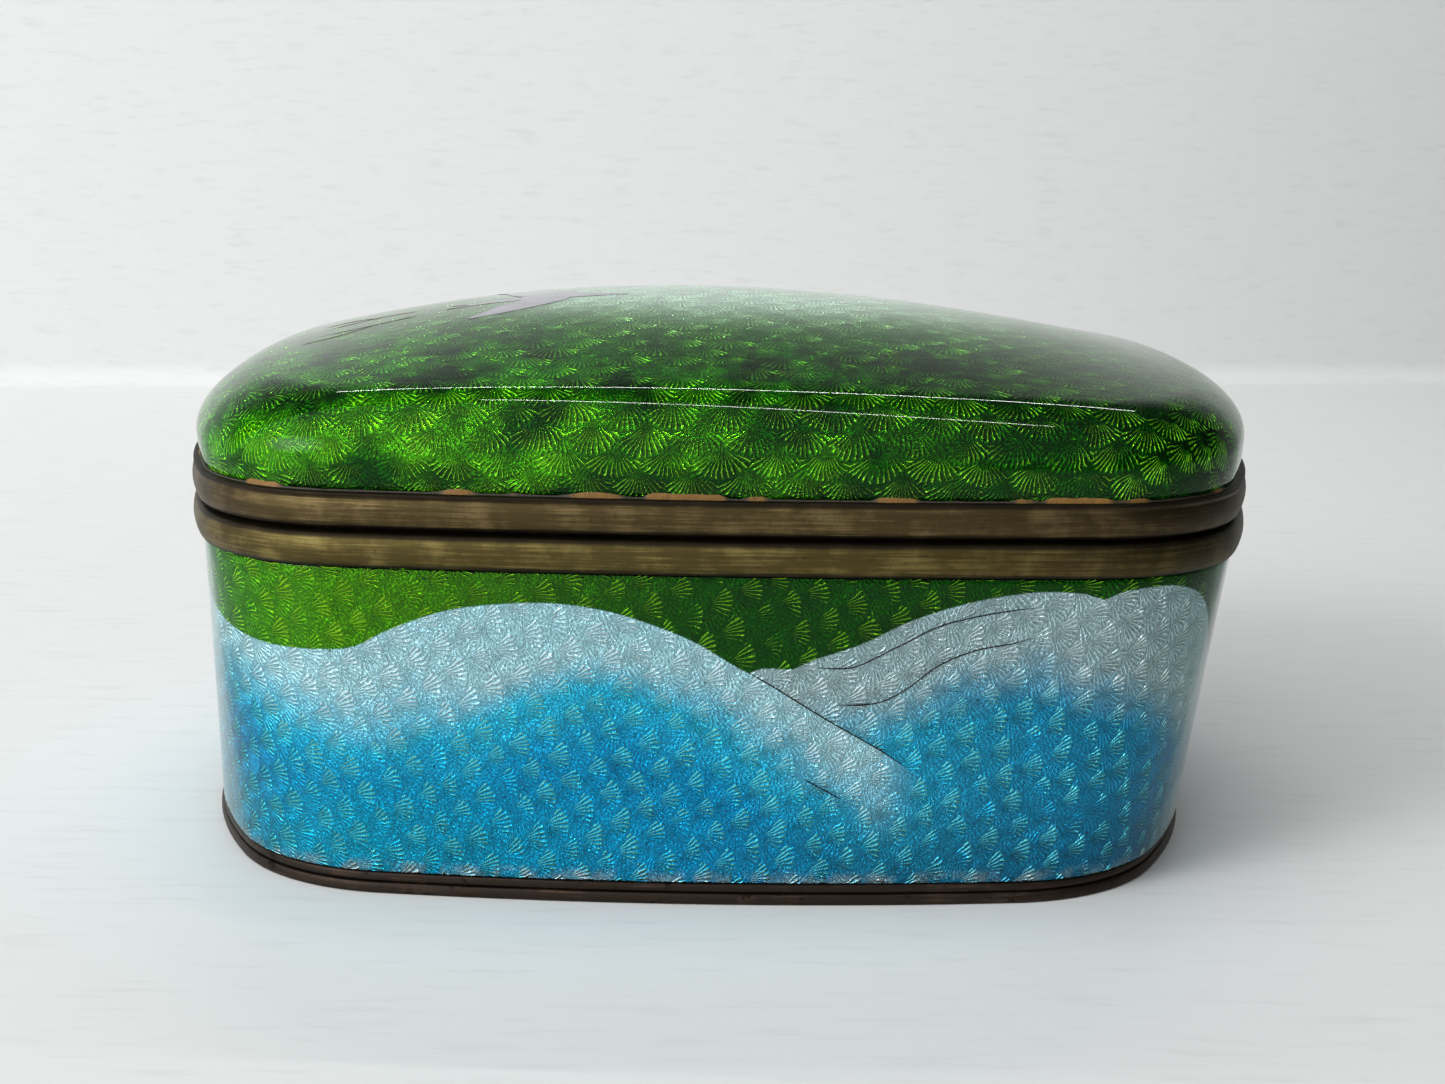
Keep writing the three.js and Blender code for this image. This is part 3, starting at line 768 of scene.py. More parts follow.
wire_silver = aged_metal(
    "wire_dark_silver", (0.12, 0.11, 0.10), (0.03, 0.028, 0.028), (0.006, 0.006, 0.006), worn_share=0.3,
)
lining = counter_enamel()
print("metals and lining ready")


# %% Cement
OCHRE_DARK, OCHRE_PALE = (0.10, 0.045, 0.005), (0.30, 0.145, 0.018)
GRIME, GRIME_ON_GLASS = (0.030, 0.020, 0.010), (0.012, 0.022, 0.006)


def cement_paste():
    """Ochre cement where it stands proud, dark grime where it is thin and along its upper edge."""
    material, tree, shader = new_material("cement_and_grime")
    place = object_place(tree)
    proud = noted(tree, "proud")
    crumbs = cloud(tree, place, 1600.0, 4.0, 0.7)
    ochre = tint(tree, crumbs, OCHRE_DARK, OCHRE_PALE)
    colour = tint(tree, rise(tree, proud, 0.12, 0.34), GRIME, ochre)
    ragged = scaled(tree, cloud(tree, place, 900.0, 5.0, 0.7), 1.1, noted(tree, "lift"))
    colour = tint(tree, rise(tree, ragged, 1.28, 1.5), colour, GRIME_ON_GLASS)
    tree.links.new(colour, shader.inputs["Base Color"])
    add_bump(tree, shader, crumbs, 0.12 * MM)
    set_sockets(shader, Roughness=0.62)
    return material


cement = cement_paste()
print("cement material:", len(cement.node_tree.nodes), "nodes")


# %% [markdown]
# ## The enamel wall
# The glass is a sleeve half a millimetre thick round the copper cup. It leans in towards the foot, most
# on the right, so each ring is cut from a plan between the foot's and the rim's. The loft goes up the
# outside, over a rounded lip, and down the inside, and joins its last ring to its first.

# %% Loft the enamel wall
def wall_ring(depth, z):
    """A ring at a depth inside the wall's face, at a height z."""
    share = z / WALL_TOP
    inset = FOOT_REVEAL + (RIM_REVEAL - FOOT_REVEAL) * share + depth
    return [(x, y, z) for x, y, _, _ in outline(blend_plans(share), inset)]


def steps(low, high, count):
    return [low + (high - low) * step / count for step in range(count + 1)]


def sleeve_profile(near, far, bottom, top, lip, rows):
    """(depth, z) pairs up the outside, over the lip and down the inside of a sleeve."""
    middle = (near + far) / 2
    soft = 0.3 * lip
    outside = [(near + lip, bottom), (near + soft, bottom + soft)]
    outside += [(near, z) for z in steps(bottom + lip, top - lip, rows)]
    crown = [(near + soft, top - soft), (near + lip, top), (middle, top), (far - lip, top),
             (far - soft, top - soft)]
    inside = [(far, z) for z in steps(top - lip, bottom + lip, 6)]
    return outside + crown + inside + [(far - soft, bottom + soft), (far - lip, bottom)]


wall_profile = sleeve_profile(0.0, ENAMEL, WALL_BOTTOM, WALL_TOP, 0.16, 40)
wall_rings = [wall_ring(depth, z) for depth, z in wall_profile]
wall_map = [[(u, z) for u in ALONG] for _, z in wall_profile]
wall_mesh = loft("enamel_wall", wall_rings, wall_map, closed=True,
                 notes=wave_notes([z for _, z in wall_profile]))
add_piece("enamel_wall", wall_mesh, wall_enamel, "body_enamel", "box", ["body_enamel"])
print("enamel wall:", len(wall_mesh.polygons), "faces")


# %% [markdown]
# ## The cup's lining
# Inside, counter enamel runs down the wall, round a soft corner and across the floor. It is one skin
# with two faces, closed by a pole in the middle of each, so light can't leak through it.

# %% Loft the lining of the cup
FLOOR_ROUND = 1.2
lining_bottom = node_span("body_lining", 2)[0]
floor_height = lining_bottom + LINING_TO - LINING_FROM


def shrink(ring, share, z):
    middle = sum(point[0] for point in ring) / len(ring)
    return [(middle + (x - middle) * share, y * share, z) for x, y, _ in ring]


def cup_turn(depth, low, radius):
    """Rings round the corner between wall and floor, from the wall down to the floor."""
    rings = []
    for angle in steps(0.0, math.pi / 2, 6):
        z = low + radius * (1 - math.sin(angle))
        rings.append(wall_ring(depth + radius * (1 - math.cos(angle)), z))
        rings[-1] = [(x, y, z) for x, y, _ in rings[-1]]
    return rings


outer_turn = cup_turn(LINING_FROM, lining_bottom, FLOOR_ROUND + 0.35)
inner_turn = cup_turn(LINING_TO, floor_height, FLOOR_ROUND)
under = [shrink(outer_turn[-1], share, lining_bottom) for share in (0.25, 0.5, 0.75)]
rise_out = [wall_ring(LINING_FROM, z) for z in steps(lining_bottom + 2.2, WALL_TOP - 0.12, 10)]
lip_rings = [wall_ring(LINING_FROM + 0.1, WALL_TOP), wall_ring(LINING_TO - 0.1, WALL_TOP)]
fall_in = [wall_ring(LINING_TO, z) for z in steps(WALL_TOP - 0.12, floor_height + 1.6, 14)]
floor_in = [shrink(inner_turn[-1], share, floor_height) for share in (0.85, 0.6, 0.35, 0.15)]
cup_rings = under + outer_turn[::-1] + rise_out + lip_rings + fall_in + inner_turn + floor_in
cup_poles = ((under[0][0][0], 0, lining_bottom), (under[0][0][0], 0, floor_height))
cup_mesh = loft("cup_lining", cup_rings, poles=cup_poles)
add_piece("cup_lining", cup_mesh, lining, "lining_enamel", "box", ["body_lining"])
print("cup lining:", len(cup_mesh.polygons), "faces")


# %% [markdown]
# ## The domed lid
# A short wall, a round shoulder and a slow crown, higher in the middle than at the edges. The crown is
# a rule, a product of two bows, and the shoulder fades into it. One function gives the rings for any
# depth under the face, so glass and lining nest with an even gap. The lid's map is the surface laid
# flat: crown points keep their place, and shoulder points are pushed out along the plan's normal.

# %% Rings of the lid
SHOULDER_Z, SHOULDER_RISE, SHOULDER_REACH = 28.65, 2.9, 4.4
CROWN_RISE, DOME_LEAN, LID_BULGE = 5.6, 0.5, 0.25
CROWN_INSET = RIM_REVEAL - LID_BULGE + SHOULDER_REACH
CROWN_HALF_X, CROWN_HALF_Y, CROWN_SKEW = 36.9, 27.4, 2.5


def crown(x, y):
    skewed = x + CROWN_SKEW * (1 - (x / CROWN_HALF_X) ** 2)
    return CROWN_RISE * (1 - (skewed / CROWN_HALF_X) ** 2) * (1 - (y / CROWN_HALF_Y) ** 2)


def lid_face(depth, wall_rows=8, shoulder_rows=18, crown_rows=16):
    """Rings and map rings from the bottom edge to the last ring before the pole, and the pole."""
    rings, maps = [], []
    crown_edge = outline(RIM_PLAN, CROWN_INSET)
    lines = []
    for t in steps(0.0, 1.0, wall_rows)[:-1]:
        bulge = RIM_REVEAL - LID_BULGE * math.sin(t * math.pi / 2)
        lines.append((bulge, bulge + depth, LID_BOTTOM + (SHOULDER_Z - LID_BOTTOM) * t, 0.0))
    for angle in steps(0.0, math.pi / 2, shoulder_rows):
        outer = CROWN_INSET - SHOULDER_REACH * math.cos(angle)
        inner = CROWN_INSET - (SHOULDER_REACH - depth) * math.cos(angle)
        lines.append((outer, inner, SHOULDER_Z + (SHOULDER_RISE - depth) * math.sin(angle),
                      math.sin(angle)))
    run, reach = 0.0, [0.0]
    for (o1, _, z1, _), (o2, _, z2, _) in zip(lines[::-1], lines[-2::-1]):
        run += math.dist((o1, z1), (o2, z2))
        reach.append(run)
    reach.reverse()
    for (outer, inset, z, share), far in zip(lines, reach):
        face = outline(RIM_PLAN, outer)
        ring = [(x + share * DOME_LEAN, y, z + share * crown(fx, fy))
                for (x, y, _, _), (fx, fy, _, _) in zip(outline(RIM_PLAN, inset), face)]
        rings.append(ring)
        flat = [(x + nx * far, y + ny * far) for x, y, nx, ny in crown_edge]
        maps.append(flat + flat[:1])
    top = SHOULDER_Z + SHOULDER_RISE - depth
    for scale in steps(1.0, 0.0, crown_rows)[1:-1]:
        spots = [(x * scale, y * scale) for x, y, _, _ in crown_edge]
        rings.append([(x + DOME_LEAN, y, top + crown(x, y)) for x, y in spots])
        maps.append(spots + spots[:1])
    return rings, maps, (DOME_LEAN, 0.0, top + crown(0.0, 0.0), 0.0, 0.0)


def lid_shell(name, near, far, lip):
    """A closed dome skin between two depths."""
    outer, outer_map, outer_pole = lid_face(near)
    inner, inner_map, inner_pole = lid_face(far)
    for rings in (outer, inner):
        rings[0] = [(x, y, z + lip) for x, y, z in rings[0]]
    edge = [[(x, y, LID_BOTTOM) for x, y, _, _ in outline(RIM_PLAN, RIM_REVEAL + depth)]
            for depth in (far - lip, near + lip)]
    edge_map = [inner_map[0], outer_map[0]]
    rings = inner[::-1] + edge + outer
    maps = inner_map[::-1] + edge_map + outer_map
    return loft(name, rings, maps, poles=(inner_pole, outer_pole))


# %% Loft the lid's enamel and its lining
lid_mesh = lid_shell("enamel_lid", 0.0, ENAMEL, 0.12)
add_piece("enamel_lid", lid_mesh, lid_enamel, "lid_enamel", "lid", ["lid_enamel"])
dome_mesh = lid_shell("dome_lining", LINING_FROM, LINING_TO, 0.08)
add_piece("dome_lining", dome_mesh, lining, "lining_enamel", "lid", ["lid_lining"])
made_top = max(v.co.z for v in lid_mesh.vertices) / MM
print("lid enamel:", len(lid_mesh.polygons), "faces, top at", round(made_top, 2), "mm; CAD",
      round(node_span("lid_enamel", 2)[1], 2))


# %% [markdown]
# ## Sweeping the rims and the foot
# The rims are half-round wire bent round the mouth and soldered, so they are a section carried along a
# path. Geometry Nodes do the same: the outline comes in as a loop of edges, becomes a curve, and a
# small closed section is swept along it. The tree also keeps the distance along the path, for the drag
# marks of the brass. Its result is turned into a plain mesh before it joins the box.

# %% The sweep tree
def edge_path(name, points, edges):
    mesh = bpy.data.meshes.new(name)
    mesh.from_pydata(points, edges, [])
    return in_scene(name, mesh)


def edge_loop(name, points):
    return edge_path(name, points, [(i, (i + 1) % len(points)) for i in range(len(points))])


def start_tree(name, sockets):
    """A Geometry Nodes tree with a mesh in, a mesh out, and named inputs."""
    tree = bpy.data.node_groups.new(name, "GeometryNodeTree")
    tree.interface.new_socket("Geometry", in_out="INPUT", socket_type="NodeSocketGeometry")
    names = {}
    for label, kind in sockets.items():
        names[label] = tree.interface.new_socket(label, in_out="INPUT", socket_type=kind).identifier
    tree.interface.new_socket("Geometry", in_out="OUTPUT", socket_type="NodeSocketGeometry")
    return tree, names, put(tree, "NodeGroupInput")


def end_tree(tree, geometry, given):
    """Realize Instances, smooth faces and Set Material, then out."""
    real = put(tree, "GeometryNodeRealizeInstances", {"Geometry": geometry}).outputs[0]
    smooth = put(tree, "GeometryNodeSetShadeSmooth", {"Geometry": real}).outputs[0]
    done = put(tree, "GeometryNodeSetMaterial",
               {"Geometry": smooth, "Material": given.outputs["Finish"]}).outputs[0]
    tree.links.new(done, put(tree, "NodeGroupOutput").inputs["Geometry"])


def make_sweep_tree():
    tree, names, given = start_tree("swept_moulding",
                                    {"Section": "NodeSocketObject", "Finish": "NodeSocketMaterial"})
    path = put(tree, "GeometryNodeMeshToCurve", {"Mesh": given.outputs["Geometry"]}).outputs[0]
    upright = put(tree, "GeometryNodeSetCurveNormal", {"Curve": path})
    upright.mode = "Z_UP"
    length = put(tree, "GeometryNodeSplineParameter").outputs["Length"]
    kept = put(tree, "GeometryNodeStoreNamedAttribute",
               {"Geometry": upright.outputs[0], "Name": "along_mm"},
               data_type="FLOAT", domain="POINT")
    tree.links.new(over(tree, length, MM), kept.inputs["Value"])
    section = put(tree, "GeometryNodeObjectInfo", {"Object": given.outputs["Section"]}).outputs["Geometry"]
    loop = put(tree, "GeometryNodeMeshToCurve", {"Mesh": section}).outputs[0]
    swept = put(tree, "GeometryNodeCurveToMesh",
                {"Curve": kept.outputs[0], "Profile Curve": loop}).outputs[0]
    end_tree(tree, swept, given)
    return tree, names


def settle(host, tree, names, values, name, material, **belongs):
    """Runs a tree on its host and keeps the result as a plain mesh piece. belongs goes to add_piece."""
    growth = host.modifiers.new("growth", "NODES")
    growth.node_group = tree
    for label, value in (values | {"Finish": material}).items():
        growth[names[label]] = value
    graph = bpy.context.evaluated_depsgraph_get()
    mesh = bpy.data.meshes.new_from_object(host.evaluated_get(graph), depsgraph=graph)
    bpy.data.objects.remove(host)
    weld(mesh)
    finish_mesh(mesh)
    mesh.name = name
    return add_piece(name, mesh, material, **belongs)


sweep_tree, sweep_names = make_sweep_tree()


def sweep(name, plan, section, material, **belongs):
    """section is (inset, z) in mm, round the moulding."""
    path = edge_loop("path", [(x * MM, (y + MIDDLE_Y) * MM, 0.0) for x, y, _, _ in outline(plan)])
    shape = edge_loop("section", [(-inset * MM, -z * MM, 0.0) for inset, z in section])
    piece = settle(path, sweep_tree, sweep_names, {"Section": shape}, name, material, **belongs)
    bpy.data.objects.remove(shape)
    print(name + ":", len(piece.data.polygons), "faces")


# %% Rims of the body and the lid, and the two steps of the foot
def moulding(face_points, inner, bottom, top):
    """A closed section: a smooth face through (inset, share of height) points and a flat back."""
    face = [(inset, bottom + (top - bottom) * share) for inset, share in through(face_points, 5)]
    return face + [(inner, top), (inner, bottom)]


body_rim_face = [
    (0.52, 0.0), (0.36, 0.03), (0.14, 0.17), (0.02, 0.36), (0.0, 0.52), (0.06, 0.72), (0.2, 0.88), (0.36,
                                                                                                    0.975),
    (0.55, 1.0),
]
lid_rim_face = [
    (0.62, 0.0), (0.42, 0.02), (0.18, 0.12), (0.04, 0.30), (0.0, 0.46), (0.04, 0.62), (0.12, 0.74), (0.2,
                                                                                                     0.81),
    (0.15, 0.86), (0.10, 0.91), (0.13, 0.97), (0.3, 1.0),
]
foot_face = [(0.3, 0.0), (0.1, 0.05), (0.0, 0.3), (0.02, 0.7), (0.1, 0.94), (0.24, 1.0)]
band_face = [(0.34, 0.0), (0.2, 0.08), (0.15, 0.4), (0.2, 0.85), (0.36, 1.0)]
for name, node, plan, face, inner, finish, slot, body in (
    ("rim_of_body", "body_rim", RIM_PLAN, body_rim_face, 2.25, rim_brass_body, "rim_brass", "box"),
    ("rim_of_lid", "lid_rim", RIM_PLAN, lid_rim_face, 2.0, rim_brass_lid, "rim_brass", "lid"),
    ("foot_lower_step", "foot_ring", FOOT_PLAN, foot_face, 2.0, foot_copper, "foot_copper", "box"),
    ("foot_upper_step", "foot_band", FOOT_PLAN, band_face, 2.0, foot_copper, "foot_copper", "box"),
):
    section = moulding(face, inner, *node_span(node, 2))
    sweep(name, plan, section, finish, slot=slot, body=body, replaced=[node])


# %% [markdown]
# ## The bezel and the base
# A thin brass strip stands inside the mouth, and the lid closes over it. Below the joint it follows the
# leaning wall and above it stands upright, so it is lofted. Under the box, a disc of counter enamel
# fills the foot ring, slightly domed because glass draws into a bead as it melts.

# %% Loft the bezel and the base
bezel_bottom, bezel_top = node_span("bezel", 2)
BEZEL_NEAR, BEZEL_FAR, BEZEL_LEAD = 2.3, 2.8, 0.2


def bezel_ring(inset, z):
    if z < WALL_TOP:
        return wall_ring(inset - RIM_REVEAL, z)
    return [(x, y, z) for x, y, _, _ in outline(RIM_PLAN, inset)]


bezel_line = [(BEZEL_NEAR, z) for z in steps(bezel_bottom, bezel_top - BEZEL_LEAD, 8)]
bezel_line += [(BEZEL_NEAR + 0.04, bezel_top - 0.07), (BEZEL_NEAR + 0.14, bezel_top),
               (BEZEL_FAR - 0.14, bezel_top)]
bezel_line += [(BEZEL_FAR - 0.04, bezel_top - 0.07)]
bezel_line += [(BEZEL_FAR, z) for z in steps(bezel_top - BEZEL_LEAD, bezel_bottom, 8)]
bezel_mesh = loft("bezel_strip", [bezel_ring(*pair) for pair in bezel_line], closed=True)
add_piece("bezel_strip", bezel_mesh, bezel_brass, "bezel_brass", "box", ["bezel"])
base_bottom, base_top = node_span("base_enamel", 2)
BASE_INSET = 2.05
base_line = [(0.2, base_bottom + 0.04), (0.5, base_bottom + 0.02), (0.85, base_bottom),
             (0.97, base_bottom + 0.03)]
base_edge = [(x, y, 0) for x, y, _, _ in outline(FOOT_PLAN, BASE_INSET)]
base_rings = [shrink(base_edge, share, z) for share, z in base_line]
base_rings += [shrink(base_edge, 1.0, base_bottom + 0.12), shrink(base_edge, 1.0, base_top)]
base_rings += [shrink(base_edge, share, base_top) for share in (0.8, 0.4)]
base_mesh = loft("base_glass", base_rings, poles=((-1.1, 0, base_bottom + 0.05), (-1.1, 0, base_top)))
add_piece("base_glass", base_mesh, lining, "lining_enamel", "box", ["base_enamel"])
print("bezel", len(bezel_mesh.polygons), "faces; base", len(base_mesh.polygons), "faces")


# %% [markdown]
# ## The hinge
# Five short tubes take turns on the body and on the lid, with a wire through them. A tube is turned
# from a small section, and Geometry Nodes then set copies of it along the hinge line, so spacing and
# number stay free. Each body gets its own mesh, because the lid's tubes move and the box's don't.

# %% Turn a knuckle and repeat it
def turned(name, section, closed, segments=40):
    """Turns (x, radius) pairs in mm about the hinge line through the origin."""
    points, faces = [], []
    for step in range(segments):
        angle = 2 * math.pi * step / segments
        points += [(x * MM, r * math.cos(angle) * MM, r * math.sin(angle) * MM) for x, r in section]
    count = len(section)
    for step in range(segments):
        for i in range(count if closed else count - 1):
            a, b = step * count, (step + 1) % segments * count
            faces.append((a + i, b + i, b + (i + 1) % count, a + (i + 1) % count))
    mesh = bpy.data.meshes.new(name)
    mesh.from_pydata(points, [], faces)
    weld(mesh, face_out=True)
    return mesh


def make_repeat_tree():
    sockets = {"Count": "NodeSocketInt", "First": "NodeSocketVector", "Pitch": "NodeSocketFloat"}
    tree, names, given = start_tree("knuckles_along_a_line", sockets | {"Finish": "NodeSocketMaterial"})
    pitch = put(tree, "ShaderNodeCombineXYZ", {0: given.outputs["Pitch"]}).outputs[0]
    line = put(tree, "GeometryNodeMeshLine",
               {"Count": given.outputs["Count"], "Start Location": given.outputs["First"],
                                              "Offset": pitch}, mode="OFFSET")
    copies = put(tree, "GeometryNodeInstanceOnPoints", {"Points": line.outputs[0],
                                                        "Instance": given.outputs["Geometry"]}).outputs[0]
    end_tree(tree, copies, given)
    return tree, names


hinge_y = sum(node_span("hinge_tube_3_body", 1)) / 2 * MM
hinge_z = sum(node_span("hinge_tube_3_body", 2)) / 2 * MM
TUBE_HALF, TUBE_R, TUBE_BORE, TUBE_PITCH = 2.2, 1.2, 0.57, 4.6
tube_section = [(-TUBE_HALF, 1.05), (-2.13, 1.16), (-2.0, TUBE_R), (-0.7, TUBE_R), (0.7, TUBE_R),
                (2.0, TUBE_R),
                (2.13, 1.16), (TUBE_HALF, 1.05), (TUBE_HALF, 0.64), (2.12, TUBE_BORE), (-2.12, TUBE_BORE),
                (-TUBE_HALF, 0.64)]
repeat_tree, repeat_names = make_repeat_tree()
for piece_name, count, first, nodes, body in (
    ("hinge_knuckles_body", 3, -2, ("hinge_tube_1_body", "hinge_tube_3_body", "hinge_tube_5_body"), "box"),
    ("hinge_knuckles_lid", 2, -1, ("hinge_tube_2_lid", "hinge_tube_4_lid"), "lid"),
):
    seed = in_scene("seed", turned("seed", tube_section, True))
    start = (first * TUBE_PITCH * MM, hinge_y, hinge_z)
    values = {"Count": count, "First": start, "Pitch": 2 * TUBE_PITCH * MM}
    settle(seed, repeat_tree, repeat_names, values, piece_name, hinge_brass,
           slot="hinge_brass", body=body, replaced=nodes)
    print(piece_name + ":", count, "tubes")


# %% The pin with its two heads
PIN_HALF, PIN_R, HEAD_R, HEAD_FROM = 11.8, 0.5, 0.85, 11.5
pin_side = [(HEAD_FROM, PIN_R), (HEAD_FROM, 0.8), (11.55, HEAD_R), (11.65, 0.8), (11.74, 0.55),
            (PIN_HALF, 0.0)]
pin_section = [(-x, r) for x, r in pin_side[::-1]] + pin_side
pin_mesh = turned("hinge_wire", pin_section, False)
pin_mesh.transform(Matrix.Translation((0, hinge_y, hinge_z)))
finish_mesh(pin_mesh)
add_piece("hinge_wire", pin_mesh, hinge_brass, "hinge_brass", "box", ["hinge_pin"])
print("pin:", len(pin_mesh.polygons), "faces")


# %% Finishes of the CAD nodes that stay
for node, finish in (
    ("hinge_bearer_body", hinge_brass), ("hinge_bearer_lid", hinge_brass),
    ("body_copper_shell", shell_copper), ("lid_copper_shell", shell_copper),
):
    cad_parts[node].data.materials.clear()
    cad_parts[node].data.materials.append(finish)
print("two bearers and two copper shells keep their CAD shape")


# %% [markdown]
# ## Cement between glass and rim
# The lid's rim was set in cement, and where the glass chipped the cement shows as low ochre patches.
# It is a thin fillet that sits on the rim and leans on the glass. Its height is a list of patches
# given along the girth, on a low rough line that carries grime the rest of the way.

# %% Loft the cement fillet
PATCHES = [(-29.0, 1.6, 0.30), (-16.2, 1.2, 0.38), (-12.5, 0.6, 0.16), (-7.6, 1.9, 0.34), (-3.0, 1.7, 0.46),
           (-0.6, 1.2, 0.36), (2.4, 0.9, 0.2), (11.0, 1.7, 0.24), (19.0, 0.9, 0.18), (22.5, 2.6, 0.36),
           (26.2, 1.0, 0.2), (34.0, 1.0, 0.2), (48.0, 2.0, 0.3), (66.0, 2.6, 0.26), (-44.0, 2.2, 0.3),
           (-58.0, 1.6, 0.3), (-80.0, 3.0, 0.26), (86.0, 2.2, 0.3), (101.0, 1.8, 0.3), (-104.0, 2.4, 0.3)]
PATCH_BASE = 0.07


def patch_height(u):
    rough = 0.5 * math.sin(u * 3.1) + 0.3 * math.sin(u * 7.7 + 1.0) + 0.2 * math.sin(u * 13.3)
    best = 0.0
    for middle, half, tall in PATCHES:
        near = 1 - ease(abs(u - middle + 0.25 * rough), half * 0.55, half * 1.05)
        best = max(best, near * tall * (1 + 0.22 * rough))
    return PATCH_BASE + 0.03 * rough + best


# (share of the patch's height, how far it stands out from the glass), from the rim over to the glass
rows_of_cement = [(0.0, 0.14), (0.35, 0.10), (0.8, 0.05), (1.0, -0.03), (0.9, -0.14), (0.0, -0.14)]
cement_rings, proud_rings, lift_rings = [], [], []
tall = [patch_height(u) for u in ALONG[:-1]]
for share, out in rows_of_cement:
    ring = []
    for (x, y, nx, ny), height in zip(outline(RIM_PLAN, RIM_REVEAL), tall):
        push = out * (0.4 + 0.6 * min(height / 0.3, 1.0)) if out > 0 else out
        ring.append((x + nx * push, y + ny * push,
                     LID_RIM_Z[1] - 0.02 + 0.05 * (share > 0) + height * share))
    cement_rings.append(ring)
    proud_rings.append(tall)
    lift_rings.append([share] * len(tall))
cement_mesh = loft("lid_cement", cement_rings, closed=True,
                   notes={"proud": proud_rings, "lift": lift_rings})
add_piece("lid_cement", cement_mesh, cement, "lid_enamel", "lid")
print("cement: tallest patch", round(max(tall), 2), "mm")


# %% [markdown]
# ## Wires in the enamel
# Fine silver wires bound some of the colours: two lines under the far wave's crest, one down the near
# wave's tail with a short one beside it, one on each end of the box, and the outline of a small bird on
# the lid. They are drawn as points, laid on the surface, and given thickness by a tree that sweeps a
# round section and tapers both ends.

# %% The wire tree and two ways to lay a wire
def make_wire_tree():
    tree, names, given = start_tree("tapered_wire",
                                    {"Radius": "NodeSocketFloat", "Finish": "NodeSocketMaterial"})
    path = put(tree, "GeometryNodeMeshToCurve", {"Mesh": given.outputs["Geometry"]}).outputs[0]
    part = put(tree, "GeometryNodeSplineParameter").outputs["Factor"]
    near_end = rise(tree, part, 0.0, 0.12)
    far_end = rise(tree, part, 1.0, 0.80)
    taper = scaled(tree, times(tree, near_end, far_end), 0.75, 0.25)
    radius = times(tree, taper, given.outputs["Radius"])
    thick = put(tree, "GeometryNodeSetCurveRadius", {"Curve": path, "Radius": radius}).outputs[0]
    ring = put(tree, "GeometryNodeCurvePrimitiveCircle", {"Resolution": 8, "Radius": 1.0},
               mode="RADIUS").outputs[0]
    inputs = {"Curve": thick, "Profile Curve": ring, "Fill Caps": True}
    swept = put(tree, "GeometryNodeCurveToMesh", inputs)
    if "Scale" in swept.inputs:
        tree.links.new(radius, swept.inputs["Scale"])
    end_tree(tree, swept.outputs[0], given)
    return tree, names


wire_tree, wire_names = make_wire_tree()
WAVE_WIRE, WAVE_WIRE_SINK = 0.055, 0.02
BIRD_WIRE, BIRD_WIRE_SINK = 0.032, 0.01


def on_wall(u, z, out=0.0):
    """The place on the wall's face at u along the girth and height z, pushed out a little."""
    ring = outline(blend_plans(z / WALL_TOP), FOOT_REVEAL + (RIM_REVEAL - FOOT_REVEAL) * z / WALL_TOP - out)
    for j, (u0, u1) in enumerate(zip(ALONG, ALONG[1:])):
        if u0 <= u <= u1:
            a, b, t = ring[j], ring[(j + 1) % COLUMNS], (u - u0) / (u1 - u0)
            return ((a[0] + (b[0] - a[0]) * t) * MM, (a[1] + (b[1] - a[1]) * t + MIDDLE_Y) * MM, z * MM)


def on_crown(x, y, out=0.0):
    top = SHOULDER_Z + SHOULDER_RISE + crown(x, y) + out
    return ((x + DOME_LEAN) * MM, (y + MIDDLE_Y) * MM, top * MM)


def lay_wires(name, lines, lay, radius, sink, body, slot, material):
    """Sweeps every line and joins them as one piece on one body."""
    points, edges = [], []
    for line in lines:
        start = len(points)
        points += [lay(a, b, -sink) for a, b in through(line, 5)]
        edges += [(i, i + 1) for i in range(start, len(points) - 1)]
    host = edge_path("wire_path", points, edges)
    wires = settle(host, wire_tree, wire_names, {"Radius": radius * MM}, name, material, slot=slot,
                   body=body)
    print(name + ":", len(lines), "wires,", len(wires.data.polygons), "faces")


# %% Wires of the waves
wave_wires = [
    [(6.2, 16.1), (8.0, 16.0), (9.6, 16.2), (12.2, 17.6), (14.7, 18.9), (18.1, 19.7), (21.3, 20.1)],
    [(8.0, 13.6), (11.0, 13.7), (12.9, 14.6), (14.8, 16.2), (17.0, 17.2), (19.5, 17.7), (21.4, 18.3)],
    [(2.0, 15.9), (4.1, 14.8), (8.0, 12.6), (11.9, 10.6), (14.6, 9.0)],
    [(6.8, 8.7), (9.9, 7.2)],
    [(50.0, 14.6), (54.0, 16.4), (59.0, 17.8), (64.0, 18.2), (70.0, 17.0)],
    [(-66.0, 16.5), (-60.0, 17.9), (-54.0, 16.4), (-48.0, 13.0)],
]
lay_wires("wires_of_waves", wave_wires, on_wall, WAVE_WIRE, WAVE_WIRE_SINK, "box", "body_enamel",
          wire_silver)


# %% [markdown]
# ## A small bird over the water
# The lid carries one flying bird, drawn here as a plain long-winged bird of no special kind. Its
# colour is opaque enamel, a flat inlay that follows the crown, and fine wires outline it. A few stems
# trail behind it. The inlay is filled from its outline and laid on the crown point by point.

# %% Inlay and outline of the bird
def opaque_enamel(name, first, second):
    material, tree, shader = new_material(name)
    place = object_place(tree)
    colour = tint(tree, rise(tree, cloud(tree, place, 700.0, 4.0), 0.35, 0.65), first, second)
    tree.links.new(colour, shader.inputs["Base Color"])
    add_bump(tree, shader, cloud(tree, place, 1500.0), 0.02 * MM)
    set_sockets(shader, Roughness=0.3, Coat_Weight=1.0, Coat_Roughness=0.04)
    return material


